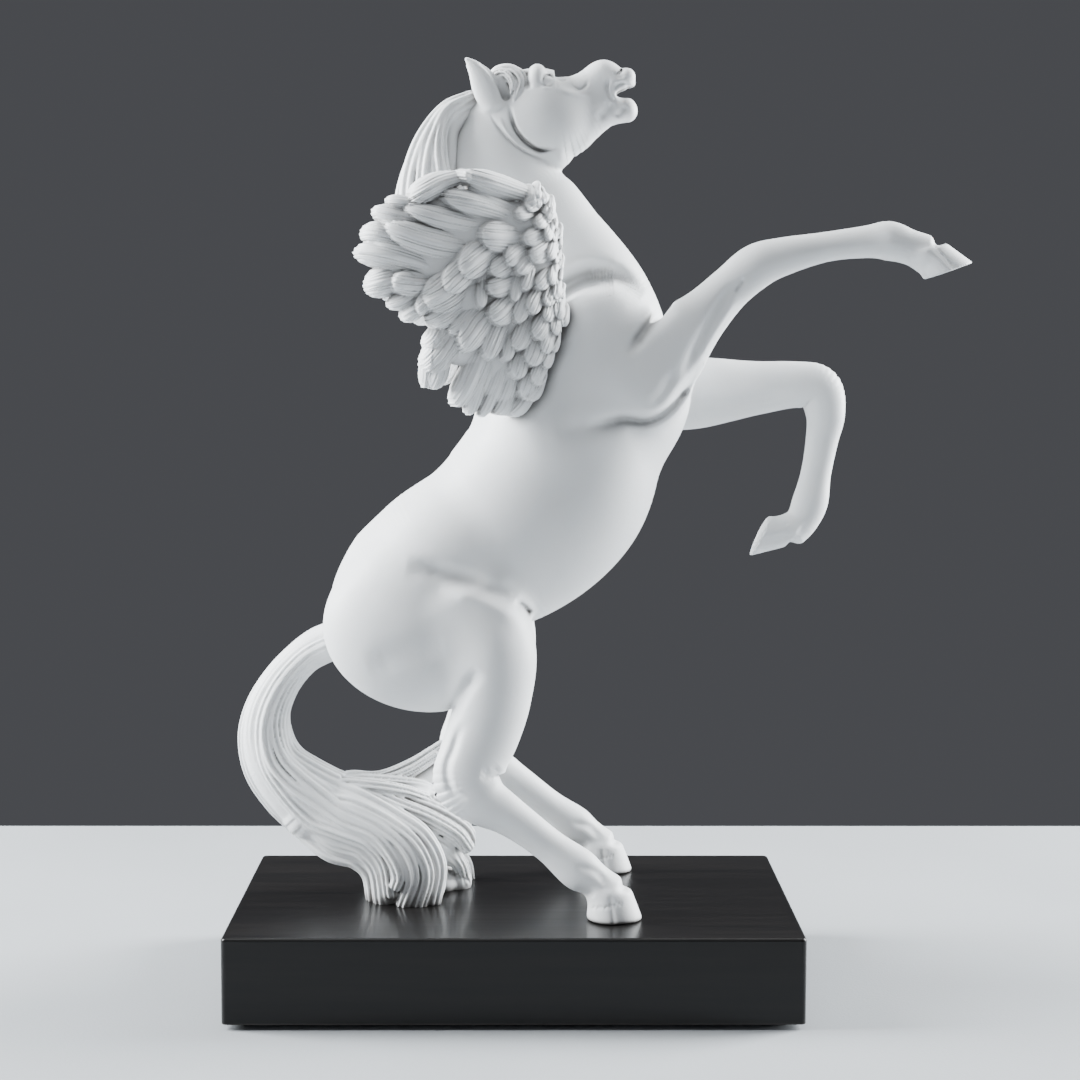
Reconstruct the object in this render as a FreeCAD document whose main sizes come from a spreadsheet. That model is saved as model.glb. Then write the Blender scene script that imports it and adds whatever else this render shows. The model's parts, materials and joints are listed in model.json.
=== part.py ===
"""Rearing winged horse statuette: cast-marble pieces, dowelled together, bolted to a wooden plinth.

Frame, in millimetres: +Z up, the origin at the centre of the plinth's footprint at resting level.
The horse faces +X, so its right side is on -Y. The horse's castings are ruled lofts through oval
sections, and each joint between two castings is one oval that both of them share.
"""

import FreeCAD
import Part
import Sketcher
import math
import os

doc = FreeCAD.newDocument("WingedHorse")
V = FreeCAD.Vector
UP = V(0, 0, 1)
ACROSS = V(0, 1, 0)

# ---------------------------------------------------------------- driving dimensions

SIZES = {
    "plinth_length": 200,
    "plinth_width": 120,
    "plinth_thick": 30,
    "plinth_corner": 2,
    "plinth_edge_break": 1.2,
    "felt_thick": 2,
    "felt_inset": 6,
    "hoof_spread": 70,
    "hoof_place": 35,
    "stud_radius": 2,
    "stud_length": 38,
    "stud_end": 1,
    "stud_hole": 2.2,
    "bore_radius": 7,
    "bore_depth": 10,
    "washer_radius": 6,
    "washer_thick": 1,
    "nut_flats": 7,
    "nut_thick": 3.2,
    "screw_radius": 1.9,
    "screw_head_radius": 3.9,
    "screw_head_rim": 0.8,
    "screw_head_thick": 3,
    "screw_point": 4,
    "screw_length": 42,
    "screw_place": -50,
    "wing_thick": 9,
    "wing_flare": 25,
    "wing_edge_round": 2.5,
    "wing_hinge_forward": 16,
    "wing_hinge_side": 27,
    "wing_root_forward": 15,
    "wing_root_side": 8,
    "wing_root_up": 22,
    "chest_forward": 12,
    "chest_side": 13,
    "chest_up": 17,
    "forelock_forward": 8,
    "forelock_side": 7,
    "forelock_up": 7,
    "ear_foot_radius": 3.4,
    "ear_tip_radius": 0.6,
    "ear_length": 14,
    "dowel_radius": 4,
    "leg_dowel_radius": 2.5,
    "pin_radius": 1.5,
    "neck_dowel_length": 34,
    "leg_dowel_length": 24,
    "tail_dowel_length": 18,
    "pin_length": 16,
}

# places on the horse's right side or its middle plane, X, Y, Z
WING_ROOT = (8, -25, 234)
CHEST = (50, 0, 218)
FORELOCK = (-1, 0, 325.5)
EAR_FOOT = (-6, -6.5, 322)
EAR_LEAN = (-0.75, -0.1, 1)
WING_PIN_START = (10, -14)
WING_PIN_HEIGHTS = (226, 240)

# The sections of the castings: name, centre X, Y, Z, lean of the run, depth, width.
# The lean is the direction of travel in the side view, in degrees from +X towards +Z.
# The depth is measured across the run in the side view, and the width is along Y.

TAIL_HEAD = ("tail_head", -71, 0, 125, 0, 13, 12.9)
NECK_BASE = ("neck_base", 19, 0, 247, 90, 70, 38)
TORSO = (
    TAIL_HEAD,
    ("buttock", -59, 0, 127, 18, 44, 43),
    ("haunch", -39.5, 0, 134, 29, 70, 66),
    ("flank", -20, 0, 149, 47, 72, 60),
    ("loin", -8.5, 0, 161, 52, 67, 54),
    ("barrel", 9, 0, 176, 57, 70, 56),
    ("girth", 20, 0, 197.5, 72, 67, 58),
    ("shoulder", 26.5, 0, 223, 85, 72, 55),
    NECK_BASE,
)

GASKIN_TOP = ("gaskin_top", -9.5, -27, 99, -90, 27, 19)
THIGH = (
    ("thigh_root", -30, -14, 150, -90, 56, 30),
    ("thigh_wide", -31, -17, 125, -90, 76, 32),
    ("thigh_low", -27, -20, 111, -90, 64, 31),
    ("thigh_close", -21.5, -23, 103.5, -90, 50, 27),
    GASKIN_TOP,
)
HIND_LEG = (
    GASKIN_TOP,
    ("gaskin", -14.5, -30, 88, -84, 24, 16),
    ("hock", -14, -32, 77, -62, 25, 14.5),
    ("hock_low", -8.5, -32.5, 73, -46, 18, 13),
    ("cannon", -1, -33, 69, -38, 13.7, 12),
    ("shin", 12, -34, 58, -39, 12.6, 11.5),
    ("fetlock", 22.5, -34.5, 50, -45, 15, 13),
    ("pastern", 29.5, -35, 44.8, -54, 12, 11.8),
    ("coronet", 33.5, -35, 40.5, -78, 15.6, 14.8),
    ("sole", 35.2, -35, 32, -90, 19.6, 17.5),
)

RIGHT_ARM_TOP = ("right_arm_top", 66, -20, 240, 0, 29, 20)
RIGHT_SHOULDER = (
    ("right_shoulder", 36, -14, 224, 0, 34, 24),
    ("right_shoulder_point", 54, -18, 229, 0, 40, 23),
    RIGHT_ARM_TOP,
)
RIGHT_FORELEG = (
    RIGHT_ARM_TOP,
    ("right_forearm", 75.5, -21, 254, 38, 15.5, 14),
    ("right_knee", 86, -22, 261.8, 20, 16, 13),
    ("right_cannon", 108, -22, 267.8, 7, 10.4, 10),
    ("right_fetlock", 129.5, -22, 269.6, -2, 13.8, 12),
    ("right_pastern", 138.5, -22, 267.5, -20, 11.8, 11),
    ("right_coronet", 144.5, -22, 266, -37, 13.4, 12.8),
    ("right_sole", 151, -22, 259.5, -71, 17, 14.5),
)

LEFT_ARM_TOP = ("left_arm_top", 66, 20, 216, 0, 28, 20)
LEFT_SHOULDER = (
    ("left_shoulder", 36, 14, 222, 0, 34, 24),
    ("left_shoulder_point", 54, 18, 220, 0, 40, 23),
    LEFT_ARM_TOP,
)
LEFT_FORELEG = (
    LEFT_ARM_TOP,
    ("left_forearm", 90, 22, 217.6, 0, 19.6, 15.5),
    ("left_knee", 112.5, 22, 217, -40, 18, 14),
    ("left_cannon", 114.5, 22, 204, -90, 12.4, 10.5),
    ("left_shin", 112.5, 22, 188, -98, 11.2, 10),
    ("left_fetlock", 109.5, 22, 174.5, -106, 13.6, 12),
    ("left_pastern", 107, 22, 167.5, -128, 12, 11),
    ("left_coronet", 102.5, 22, 163.5, -152, 12.8, 12.6),
    ("left_sole", 91, 22, 162.4, -206, 16.2, 14.5),
)

NECK = (
    NECK_BASE,
    ("neck_middle", 7.5, 0, 265, 98, 64, 31),
    ("neck_upper", -2, 0, 282, 105, 50, 26),
    ("throat", -5, 0, 296, 98, 42, 23),
    ("poll", -2, 0, 316, 80, 28, 16),
)
HEAD = (
    ("occiput", -10, 0, 319, 0, 9, 8),
    ("skull", -2, 0, 317, 4, 24, 17),
    ("cheek", 11, 0, 315.5, 18, 35, 24),
    ("face", 23.5, 0, 318, 17, 23.8, 18),
    ("nose", 31.5, 0, 322.6, 12, 22, 14),
    ("muzzle", 38.5, 0, 322, 8, 18.6, 13.5),
    ("lips", 43, 0, 321.5, 4, 11, 9),
)
MANE = (
    ("mane_poll", -13, 0, 317, 180, 7, 6.9),
    ("mane_crest", -24, 0, 311, 215, 17, 14),
    ("mane_nape", -30, 0, 298, 252, 25, 23),
    ("mane_back", -29.5, 0, 280, 270, 26, 24),
    ("mane_low", -23, 0, 260, 285, 25, 20),
    ("mane_end", -14, 0, 240, 292, 12, 10),
)
TAIL = (
    TAIL_HEAD,
    ("tail_dock", -80.5, 0, 117, 50, 12.5, 12.4),
    ("tail_bend", -88, 0, 106.5, 72, 14, 13.9),
    ("tail_side", -91.2, 0, 91, 91, 18.4, 18),
    ("tail_sweep", -86, 0, 76, 124, 23, 22.9),
    ("tail_turn", -71, 0, 63.5, 148, 34, 32),
    ("tail_fan", -48, 0, 55.95, 176, 48, 36),
    ("tail_tips", -26, 0, 56, 181, 42, 32),
    ("tail_end", -15, 0, 47, 184, 16, 14),
)
WING_OUTLINE = (
    (-4, 243), (0, 257), (2, 273), (9, 283), (20, 290), (36, 292), (56, 286), (69, 280),
    (77, 268), (74, 252), (64, 245), (52, 237), (51, 221), (40, 217), (33, 209), (20, 209),
    (6, 217), (1, 230),
)  # distance out along the wing from its hinge line, height

sheet = doc.addObject("Spreadsheet::Sheet", "Sizes")
sheet_rows = 0


def cell(alias, value):
    """Put one driving dimension in the next row of the sheet."""
    global sheet_rows
    sheet_rows += 1
    sheet.set(f"A{sheet_rows}", alias)
    sheet.set(f"B{sheet_rows}", str(value))
    sheet.setAlias(f"B{sheet_rows}", alias)


for size_name, size in SIZES.items():
    cell(size_name, size)
doc.recompute()


def size_of(alias):
    """Read one driving dimension back from the sheet, in millimetres or degrees."""
    return float(sheet.get(alias))


# ---------------------------------------------------------------- helpers


def bind(part, **expressions):
    """Bind a part's properties to expressions in the sheet's cells."""
    for prop, expression in expressions.items():
        part.setExpression(prop, expression)


ovals = {}


def oval(section):
    """One oval section, its radii bound to the sheet; a shared section is made once."""
    name, x, y, z, lean, depth, width = section
    if name not in ovals:
        cell(name + "_depth", depth)
        cell(name + "_width", width)
        ring = doc.addObject("Part::Ellipse", name)
        bind(ring, MajorRadius=f"Sizes.{name}_depth / 2", MinorRadius=f"Sizes.{name}_width / 2")
        angle = math.radians(lean)
        run = V(math.cos(angle), 0, math.sin(angle))
        depth_axis = V(-math.sin(angle), 0, math.cos(angle))
        turn = FreeCAD.Rotation(depth_axis, run.cross(depth_axis), run, "ZXY")
        ring.Placement = FreeCAD.Placement(V(x, y, z), turn)
        ovals[name] = ring
    return ovals[name]


def loft(name, sections):
    """A closed solid through oval sections."""
    skin = doc.addObject("Part::Loft", name)
    skin.Sections = [oval(section) for section in sections]
    skin.Solid = True
    skin.Ruled = True
    return skin


def bulge(name, place):
    """An ellipsoid at a place; its three radii are the cells that start with its name."""
    ball = doc.addObject("Part::Ellipsoid", name)
    alias = f"Sizes.{name}"
    bind(ball, Radius1=alias + "_up", Radius2=alias + "_forward", Radius3=alias + "_side")
    ball.Placement = FreeCAD.Placement(V(*place), FreeCAD.Rotation())
    return ball


def join(name, *solids):
    """Several solids as one piece."""
    whole = doc.addObject("Part::MultiFuse", name)
    whole.Shapes = list(solids)
    return whole


def cut(name, base, tool):
    """A solid with another solid's room taken out of it."""
    rest = doc.addObject("Part::Cut", name)
    rest.Base = base
    rest.Tool = tool
    return rest


def mirrored(name, source):
    """The same piece on the horse's other side."""
    twin = doc.addObject("Part::Mirroring", name)
    twin.Source = source
    twin.Normal = ACROSS
    return twin


def group(name, *pieces):
    """Identical pieces that share one node and stay separate solids."""
    together = doc.addObject("Part::Compound", name)
    together.Links = list(pieces)
    return together


def cylinder(name, start, along, length, radius):
    """A round bar from a point, with the sheet's expressions for its length and radius."""
    bar = doc.addObject("Part::Cylinder", name)
    bind(bar, Height=length, Radius=radius)
    bar.Placement = FreeCAD.Placement(start, FreeCAD.Rotation(UP, along))
    return bar


def plane_of(body, role):
    """One of a body's own origin planes."""
    return next(f for f in body.Origin.OriginFeatures if f.Role == role)


def sketch_on(body, role, name):
    """An empty sketch flat on one of a body's own origin planes."""
    sketch = body.newObject("Sketcher::SketchObject", name)
    sketch.AttachmentSupport = [(plane_of(body, role), "")]
    sketch.MapMode = "FlatFace"
    return sketch


def polygon(sketch, corners):
    """Closed straight outline in a sketch."""
    for start, end in zip(corners, corners[1:] + corners[:1]):
        sketch.addGeometry(Part.LineSegment(V(*start, 0), V(*end, 0)), False)


def circle(sketch, x, y, alias):
    """A circle in a sketch, its radius bound to a cell."""
    index = sketch.addGeometry(Part.Circle(V(x, y, 0), UP, size_of(alias)), False)
    constraint = sketch.addConstraint(Sketcher.Constraint("Radius", index, size_of(alias)))
    sketch.setExpression(f"Constraints[{constraint}]", f"Sizes.{alias}")


def rectangle(sketch, length_alias, width_alias):
    """A rectangle centred in a sketch, its sides bound to cells."""
    far_x = size_of(length_alias) / 2
    far_y = size_of(width_alias) / 2
    polygon(sketch, [(-far_x, -far_y), (far_x, -far_y), (far_x, far_y), (-far_x, far_y)])
    for corner in range(4):
        sketch.addConstraint(Sketcher.Constraint("Coincident", corner, 2, (corner + 1) % 4, 1))
    for side in (0, 2):
        sketch.addConstraint(Sketcher.Constraint("Horizontal", side))
    for side in (1, 3):
        sketch.addConstraint(Sketcher.Constraint("Vertical", side))
    sketch.addConstraint(Sketcher.Constraint("Symmetric", 0, 1, 1, 2, -1, 1))
    for side, alias in ((0, length_alias), (1, width_alias)):
        kind = "DistanceX" if side == 0 else "DistanceY"
        index = sketch.addConstraint(Sketcher.Constraint(kind, side, 1, side, 2, size_of(alias)))
        sketch.setExpression(f"Constraints[{index}]", f"Sizes.{alias}")


# ---------------------------------------------------------------- plinth and its fasteners

FELT_TOP = size_of("felt_thick")
HOOF = V(size_of("hoof_place"), -size_of("hoof_spread") / 2, 0)


def plinth_body():
    """The wooden board, with bores from beneath for two hoof studs and the tail's screw."""
    body = doc.addObject("PartDesign::Body", "Plinth")
    outline = sketch_on(body, "XY_Plane", "PlinthOutline")
    rectangle(outline, "plinth_length", "plinth_width")
    board = body.newObject("PartDesign::Pad", "PlinthBoard")
    board.Profile = outline
    bind(board, Length="Sizes.plinth_thick")
    doc.recompute()

    upright = [i for i, e in enumerate(board.Shape.Edges, 1) if e.BoundBox.ZLength > 1]
    corners = body.newObject("PartDesign::Fillet", "PlinthCorners")
    corners.Base = (board, [f"Edge{i}" for i in upright])
    bind(corners, Radius="Sizes.plinth_corner")
    doc.recompute()

    rim = [i for i, e in enumerate(corners.Shape.Edges, 1)
           if e.BoundBox.ZLength < 1e-6 and e.BoundBox.ZMin > size_of("plinth_thick") / 2]
    top_edge = body.newObject("PartDesign::Fillet", "PlinthTopEdge")
    top_edge.Base = (corners, [f"Edge{i}" for i in rim])
    bind(top_edge, Radius="Sizes.plinth_edge_break")
    doc.recompute()

    places = [(HOOF.x, HOOF.y), (HOOF.x, -HOOF.y), (size_of("screw_place"), 0)]
    wood = top_edge.Shape.Volume
    for name, radius, depth in (("Shaft", "stud_hole", "plinth_thick"),
                                ("Counterbore", "bore_radius", "bore_depth")):
        rings = sketch_on(body, "XY_Plane", name + "Rings")
        for x, y in places:
            circle(rings, x, y, radius)
        bore = body.newObject("PartDesign::Pocket", name)
        bore.Profile = rings
        bore.Reversed = True
        bind(bore, Length=f"Sizes.{depth}")
        doc.recompute()
        assert bore.Shape.Volume < wood - 100, name + " cuts nothing"
        wood = bore.Shape.Volume
    body.Placement = FreeCAD.Placement(V(0, 0, FELT_TOP), FreeCAD.Rotation())
    return body


def felt_sheet():
    """The felt sheet glued under the board, a little short of its edges."""
    sheet_of_felt = doc.addObject("Part::Box", "Felt")
    bind(sheet_of_felt, Length="Sizes.plinth_length - 2 * Sizes.felt_inset",
         Width="Sizes.plinth_width - 2 * Sizes.felt_inset", Height="Sizes.felt_thick")
    corner_x = size_of("felt_inset") - size_of("plinth_length") / 2
    corner_y = size_of("felt_inset") - size_of("plinth_width") / 2
    sheet_of_felt.Placement = FreeCAD.Placement(V(corner_x, corner_y, 0), FreeCAD.Rotation())
    return sheet_of_felt


BORE_TOP = FELT_TOP + size_of("bore_depth")
NUT_TOP = BORE_TOP - size_of("washer_thick")
STUD_FOOT = NUT_TOP - size_of("nut_thick") - size_of("stud_end")


def hoof_stud():
    """The threaded stud that rises from under the board into the near hind hoof."""
    start = V(HOOF.x, HOOF.y, STUD_FOOT)
    return cylinder("Stud", start, UP, "Sizes.stud_length", "Sizes.stud_radius")


def hoof_washer():
    """The washer at the head of the counterbore."""
    body = doc.addObject("PartDesign::Body", "Washer")
    rings = sketch_on(body, "XY_Plane", "WasherRings")
    circle(rings, 0, 0, "washer_radius")
    circle(rings, 0, 0, "stud_radius")
    disc = body.newObject("PartDesign::Pad", "WasherDisc")
    disc.Profile = rings
    bind(disc, Length="Sizes.washer_thick")
    body.Placement = FreeCAD.Placement(V(HOOF.x, HOOF.y, NUT_TOP), FreeCAD.Rotation())
    return body


def hoof_nut():
    """The hexagon nut that draws the hoof down."""
    body = doc.addObject("PartDesign::Body", "Nut")
    faces = sketch_on(body, "XY_Plane", "NutFaces")
    reach = size_of("nut_flats") / math.sqrt(3)
    turns = [math.radians(60 * i) for i in range(6)]
    polygon(faces, [(reach * math.cos(a), reach * math.sin(a)) for a in turns])
    circle(faces, 0, 0, "stud_radius")
    block = body.newObject("PartDesign::Pad", "NutBlock")
    block.Profile = faces
    bind(block, Length="Sizes.nut_thick")
    foot = NUT_TOP - size_of("nut_thick")
    body.Placement = FreeCAD.Placement(V(HOOF.x, HOOF.y, foot), FreeCAD.Rotation())
    return body


def tail_screw():
    """The countersunk wood screw that holds the tail's fan to the board."""
    body = doc.addObject("PartDesign::Body", "TailScrew")
    profile = sketch_on(body, "XZ_Plane", "ScrewProfile")
    shank = size_of("screw_radius")
    head = size_of("screw_head_radius")
    rim = size_of("screw_head_rim")
    neck_start = size_of("screw_head_thick")
    length = size_of("screw_length")
    point_start = length - size_of("screw_point")
    polygon(profile, [(0, 0), (head, 0), (head, rim), (shank, neck_start), (shank, point_start),
                      (0, length)])
    turned = body.newObject("PartDesign::Revolution", "ScrewTurned")
    turned.Profile = profile
    turned.ReferenceAxis = (profile, ["V_Axis"])
    turned.Angle = 360
    foot = V(size_of("screw_place"), 0, BORE_TOP - neck_start)
    body.Placement = FreeCAD.Placement(foot, FreeCAD.Rotation())
    return body


# ---------------------------------------------------------------- wings


def wing_raw():
    """The right wing before it is fitted: a board of the wing's outline with a thick root."""
    body = doc.addObject("PartDesign::Body", "WingBoard")
    outline = sketch_on(body, "XZ_Plane", "WingOutline")
    polygon(outline, [(-out, height) for out, height in WING_OUTLINE])
    board = body.newObject("PartDesign::Pad", "WingPad")
    board.Profile = outline
    board.SideType = "Symmetric"
    bind(board, Length="Sizes.wing_thick")
    doc.recompute()
    rims = [i for i, e in enumerate(board.Shape.Edges, 1) if e.BoundBox.YLength < 1e-6]
    edge = body.newObject("PartDesign::Fillet", "WingEdge")
    edge.Base = (board, [f"Edge{i}" for i in rims])
    bind(edge, Radius="Sizes.wing_edge_round")
    hinge = V(size_of("wing_hinge_forward"), -size_of("wing_hinge_side"), 0)
    flare = FreeCAD.Rotation(UP, size_of("wing_flare"))
    body.Placement = FreeCAD.Placement(hinge, flare)
    return join("RightWingRaw", body, bulge("wing_root", WING_ROOT))


# ---------------------------------------------------------------- castings

right_thigh = loft("RightThigh", THIGH)
right_wing_raw = wing_raw()
torso_raw = join(
    "TorsoRaw",
    loft("Trunk", TORSO),
    right_thigh,
    mirrored("LeftThigh", right_thigh),
    loft("RightShoulder", RIGHT_SHOULDER),
    loft("LeftShoulder", LEFT_SHOULDER),
    bulge("chest", CHEST),
)
neck = loft("Neck", NECK)
skull = loft("Skull", HEAD)


def right_ear():
    """A cone that leans back from the poll."""
    cone = doc.addObject("Part::Cone", "RightEar")
    bind(cone, Radius1="Sizes.ear_foot_radius", Radius2="Sizes.ear_tip_radius",
         Height="Sizes.ear_length")
    cone.Placement = FreeCAD.Placement(V(*EAR_FOOT), FreeCAD.Rotation(UP, V(*EAR_LEAN)))
    return cone


ear = right_ear()
head_raw = join("HeadRaw", neck, skull, ear, mirrored("LeftEar", ear), bulge("forelock", FORELOCK))

right_hind_leg = loft("RightHindLeg", HIND_LEG)
right_foreleg = loft("RightForeleg", RIGHT_FORELEG)
left_foreleg = loft("LeftForeleg", LEFT_FORELEG)
tail_raw = loft("TailRaw", TAIL)
mane_raw = loft("ManeRaw", MANE)

# ---------------------------------------------------------------- dowels and pins in the joints


def dowel(name, middle, along, kind):
    """A steel dowel centred on a joint between two castings."""
    length = size_of(kind + "_length")
    start = middle - V(along).normalize() * (length / 2)
    radius = "dowel_radius" if kind == "neck_dowel" else "leg_dowel_radius"
    return cylinder(name, start, along, f"Sizes.{kind}_length", f"Sizes.{radius}")


def wing_pin(name, height):
    """One thin pin from the flank into the root of the right wing."""
    start = V(*WING_PIN_START, height)
    return cylinder(name, start, V(0, -1, 0), "Sizes.pin_length", "Sizes.pin_radius")


neck_dowel = dowel("NeckDowel", V(14, 0, 247), V(-0.3, 0, 1), "neck_dowel")
right_fore_dowel = dowel("RightForeDowel", V(66, -20, 241), V(0.72, -0.08, 1), "leg_dowel")
left_fore_dowel = dowel("LeftForeDowel", V(66, 20, 216), V(1, 0.07, 0), "leg_dowel")
right_hind_dowel = dowel("RightHindDowel", V(-10, -27.2, 99), V(0.3, 0.24, 1), "leg_dowel")
hind_dowels = group("HindDowels", right_hind_dowel, mirrored("LeftHindDowel", right_hind_dowel))
tail_dowel = dowel("TailDowel", V(-71, 0, 124.6), V(1, 0, 0.45), "tail_dowel")
right_pins = group("RightPins", *[wing_pin(f"PinAt{height}", height) for height in WING_PIN_HEIGHTS])
left_pins = mirrored("LeftPins", right_pins)

right_stud = hoof_stud()
studs = group("Studs", right_stud, mirrored("LeftStud", right_stud))
right_washer = hoof_washer()
washers = group("Washers", right_washer, mirrored("LeftWasher", right_washer))
right_nut = hoof_nut()
nuts = group("Nuts", right_nut, mirrored("LeftNut", right_nut))
screw = tail_screw()

# ---------------------------------------------------------------- fitted castings

torso_tools = join("TorsoSockets", neck_dowel, right_fore_dowel, left_fore_dowel,
                   hind_dowels, tail_dowel, right_pins, left_pins)
torso = cut("Torso", torso_raw, torso_tools)
head = cut("Head", head_raw, neck_dowel)
mane = cut("Mane", cut("ManeOnNeck", mane_raw, head_raw), torso_raw)
wing_on_flank = cut("WingOnFlank", cut("WingOnNeck", right_wing_raw, head_raw), torso_raw)
right_wing = cut("RightWing", wing_on_flank, right_pins)
left_wing = mirrored("LeftWing", right_wing)
hind_sockets = join("HindSockets", right_hind_dowel, right_stud)
right_hind = cut("RightHind", right_hind_leg, hind_sockets)
left_hind = mirrored("LeftHind", right_hind)
right_fore = cut("RightFore", right_foreleg, right_fore_dowel)
left_fore = cut("LeftFore", left_foreleg, left_fore_dowel)
tail_sockets = join("TailSockets", tail_dowel, screw)
tail = cut("Tail", tail_raw, tail_sockets)

PIECES = {
    "plinth_block": plinth_body(),
    "felt_sheet": felt_sheet(),
    "torso_casting": torso,
    "head_and_neck_casting": head,
    "mane_casting": mane,
    "tail_casting": tail,
    "right_foreleg_casting": right_fore,
    "left_foreleg_casting": left_fore,
    "right_hind_leg_casting": right_hind,
    "left_hind_leg_casting": left_hind,
    "right_wing_casting": right_wing,
    "left_wing_casting": left_wing,
    "neck_dowel": neck_dowel,
    "right_foreleg_dowel": right_fore_dowel,
    "left_foreleg_dowel": left_fore_dowel,
    "hind_leg_dowels": hind_dowels,
    "tail_dowel": tail_dowel,
    "right_wing_pins": right_pins,
    "left_wing_pins": left_pins,
    "hoof_studs": studs,
    "hoof_washers": washers,
    "hoof_nuts": nuts,
    "tail_screw": screw,
}

# ---------------------------------------------------------------- check and write

doc.recompute()
for thing in doc.Objects:
    if "Invalid" in thing.State or "Error" in thing.State:
        raise RuntimeError(f"{thing.Name} did not recompute: {thing.State}")

os.makedirs("parts", exist_ok=True)
for node, piece in PIECES.items():
    piece.Label = node
    shape = piece.Shape
    if shape.isNull() or not shape.isValid():
        raise RuntimeError(f"{node} has no valid shape")
    shape.exportStep(f"parts/{node}.step")
    print(f"{node}: {len(shape.Solids)} solid(s), {shape.Volume / 1000:.2f} cm3")
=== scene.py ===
"""Rearing winged horse statuette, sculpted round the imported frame.

All sculpting is in millimetres in the frame's own axes (+X the way the horse faces, +Z up,
its right side on -Y) and becomes metres when a mesh is made.
"""

import json
import math
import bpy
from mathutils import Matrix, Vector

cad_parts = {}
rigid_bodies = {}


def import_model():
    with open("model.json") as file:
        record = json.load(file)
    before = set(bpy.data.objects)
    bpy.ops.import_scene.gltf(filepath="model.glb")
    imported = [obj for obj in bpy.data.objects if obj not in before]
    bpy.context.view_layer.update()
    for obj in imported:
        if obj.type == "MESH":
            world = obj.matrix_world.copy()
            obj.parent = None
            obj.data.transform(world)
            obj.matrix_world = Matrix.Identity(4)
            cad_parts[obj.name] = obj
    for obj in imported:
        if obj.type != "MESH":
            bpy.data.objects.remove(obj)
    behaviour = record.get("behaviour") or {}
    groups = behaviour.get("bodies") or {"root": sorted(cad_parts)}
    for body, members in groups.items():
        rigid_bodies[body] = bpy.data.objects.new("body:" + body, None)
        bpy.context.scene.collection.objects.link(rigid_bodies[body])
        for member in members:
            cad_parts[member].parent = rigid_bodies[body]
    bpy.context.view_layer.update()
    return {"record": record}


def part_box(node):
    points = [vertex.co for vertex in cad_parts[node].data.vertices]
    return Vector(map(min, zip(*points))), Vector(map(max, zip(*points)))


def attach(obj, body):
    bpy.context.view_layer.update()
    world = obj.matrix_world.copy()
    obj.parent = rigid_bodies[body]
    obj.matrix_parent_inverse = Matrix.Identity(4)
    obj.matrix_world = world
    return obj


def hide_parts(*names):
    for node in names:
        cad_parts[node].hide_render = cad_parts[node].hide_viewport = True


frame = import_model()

from concurrent.futures import ThreadPoolExecutor

import bmesh
import bpy
import numpy as np
import openvdb
from mathutils import Matrix, Vector

MM = 0.001
COARSE = 1.0

PLINTH_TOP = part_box("plinth_block")[1][2] / MM
TAIL_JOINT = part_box("tail_casting")[1][0] / MM

OUTSIDE = 40.0      # mm, distance given to a point that no shape is near
OUTREACH = 7        # how far past its own box, in mm, a shape is evaluated
HALF_SPAN = 60      # mm, more than half the body's width
CHUNK = 60000       # points evaluated at a time
CORES = 4
SIDE_FADE = 17      # a stroke on one side reaches its full depth this far from the middle

# ---------------------------------------------------------------- clay: solids as distances on a grid


def smooth_min(a, b, reach):
    """The smaller of two distances, with a fillet about as wide as the reach."""
    if reach <= 0:
        return np.minimum(a, b)
    bite = np.maximum(reach - np.abs(a - b), 0) / reach
    return np.minimum(a, b) - bite * bite * reach / 4


def curve(points, step):
    """A smooth (Catmull-Rom) line through rows of numbers, with rows about one step apart."""
    rows = np.array(points, float)
    padded = np.vstack([2 * rows[0] - rows[1], rows, 2 * rows[-1] - rows[-2]])
    pieces = []
    for i in range(len(rows) - 1):
        before, start, end, after = padded[i:i + 4]
        count = max(2, int(np.linalg.norm((end - start)[:3]) / step))
        along = np.arange(count)[:, None] / count
        pieces.append(0.5 * (2 * start + (end - before) * along
                             + (2 * before - 5 * start + 4 * end - after) * along ** 2
                             + (3 * start - before - 3 * end + after) * along ** 3))
    return np.vstack([*pieces, rows[-1:]])


def oval_distance(u, v, w, a, b, c):
    """About how far a point is from an ellipsoid's surface."""
    near = np.sqrt((u / a) ** 2 + (v / b) ** 2 + (w / c) ** 2)
    slope = np.sqrt((u / a ** 2) ** 2 + (v / b ** 2) ** 2 + (w / c ** 2) ** 2)
    return near * (near - 1) / np.maximum(slope, 1e-6)


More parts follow.
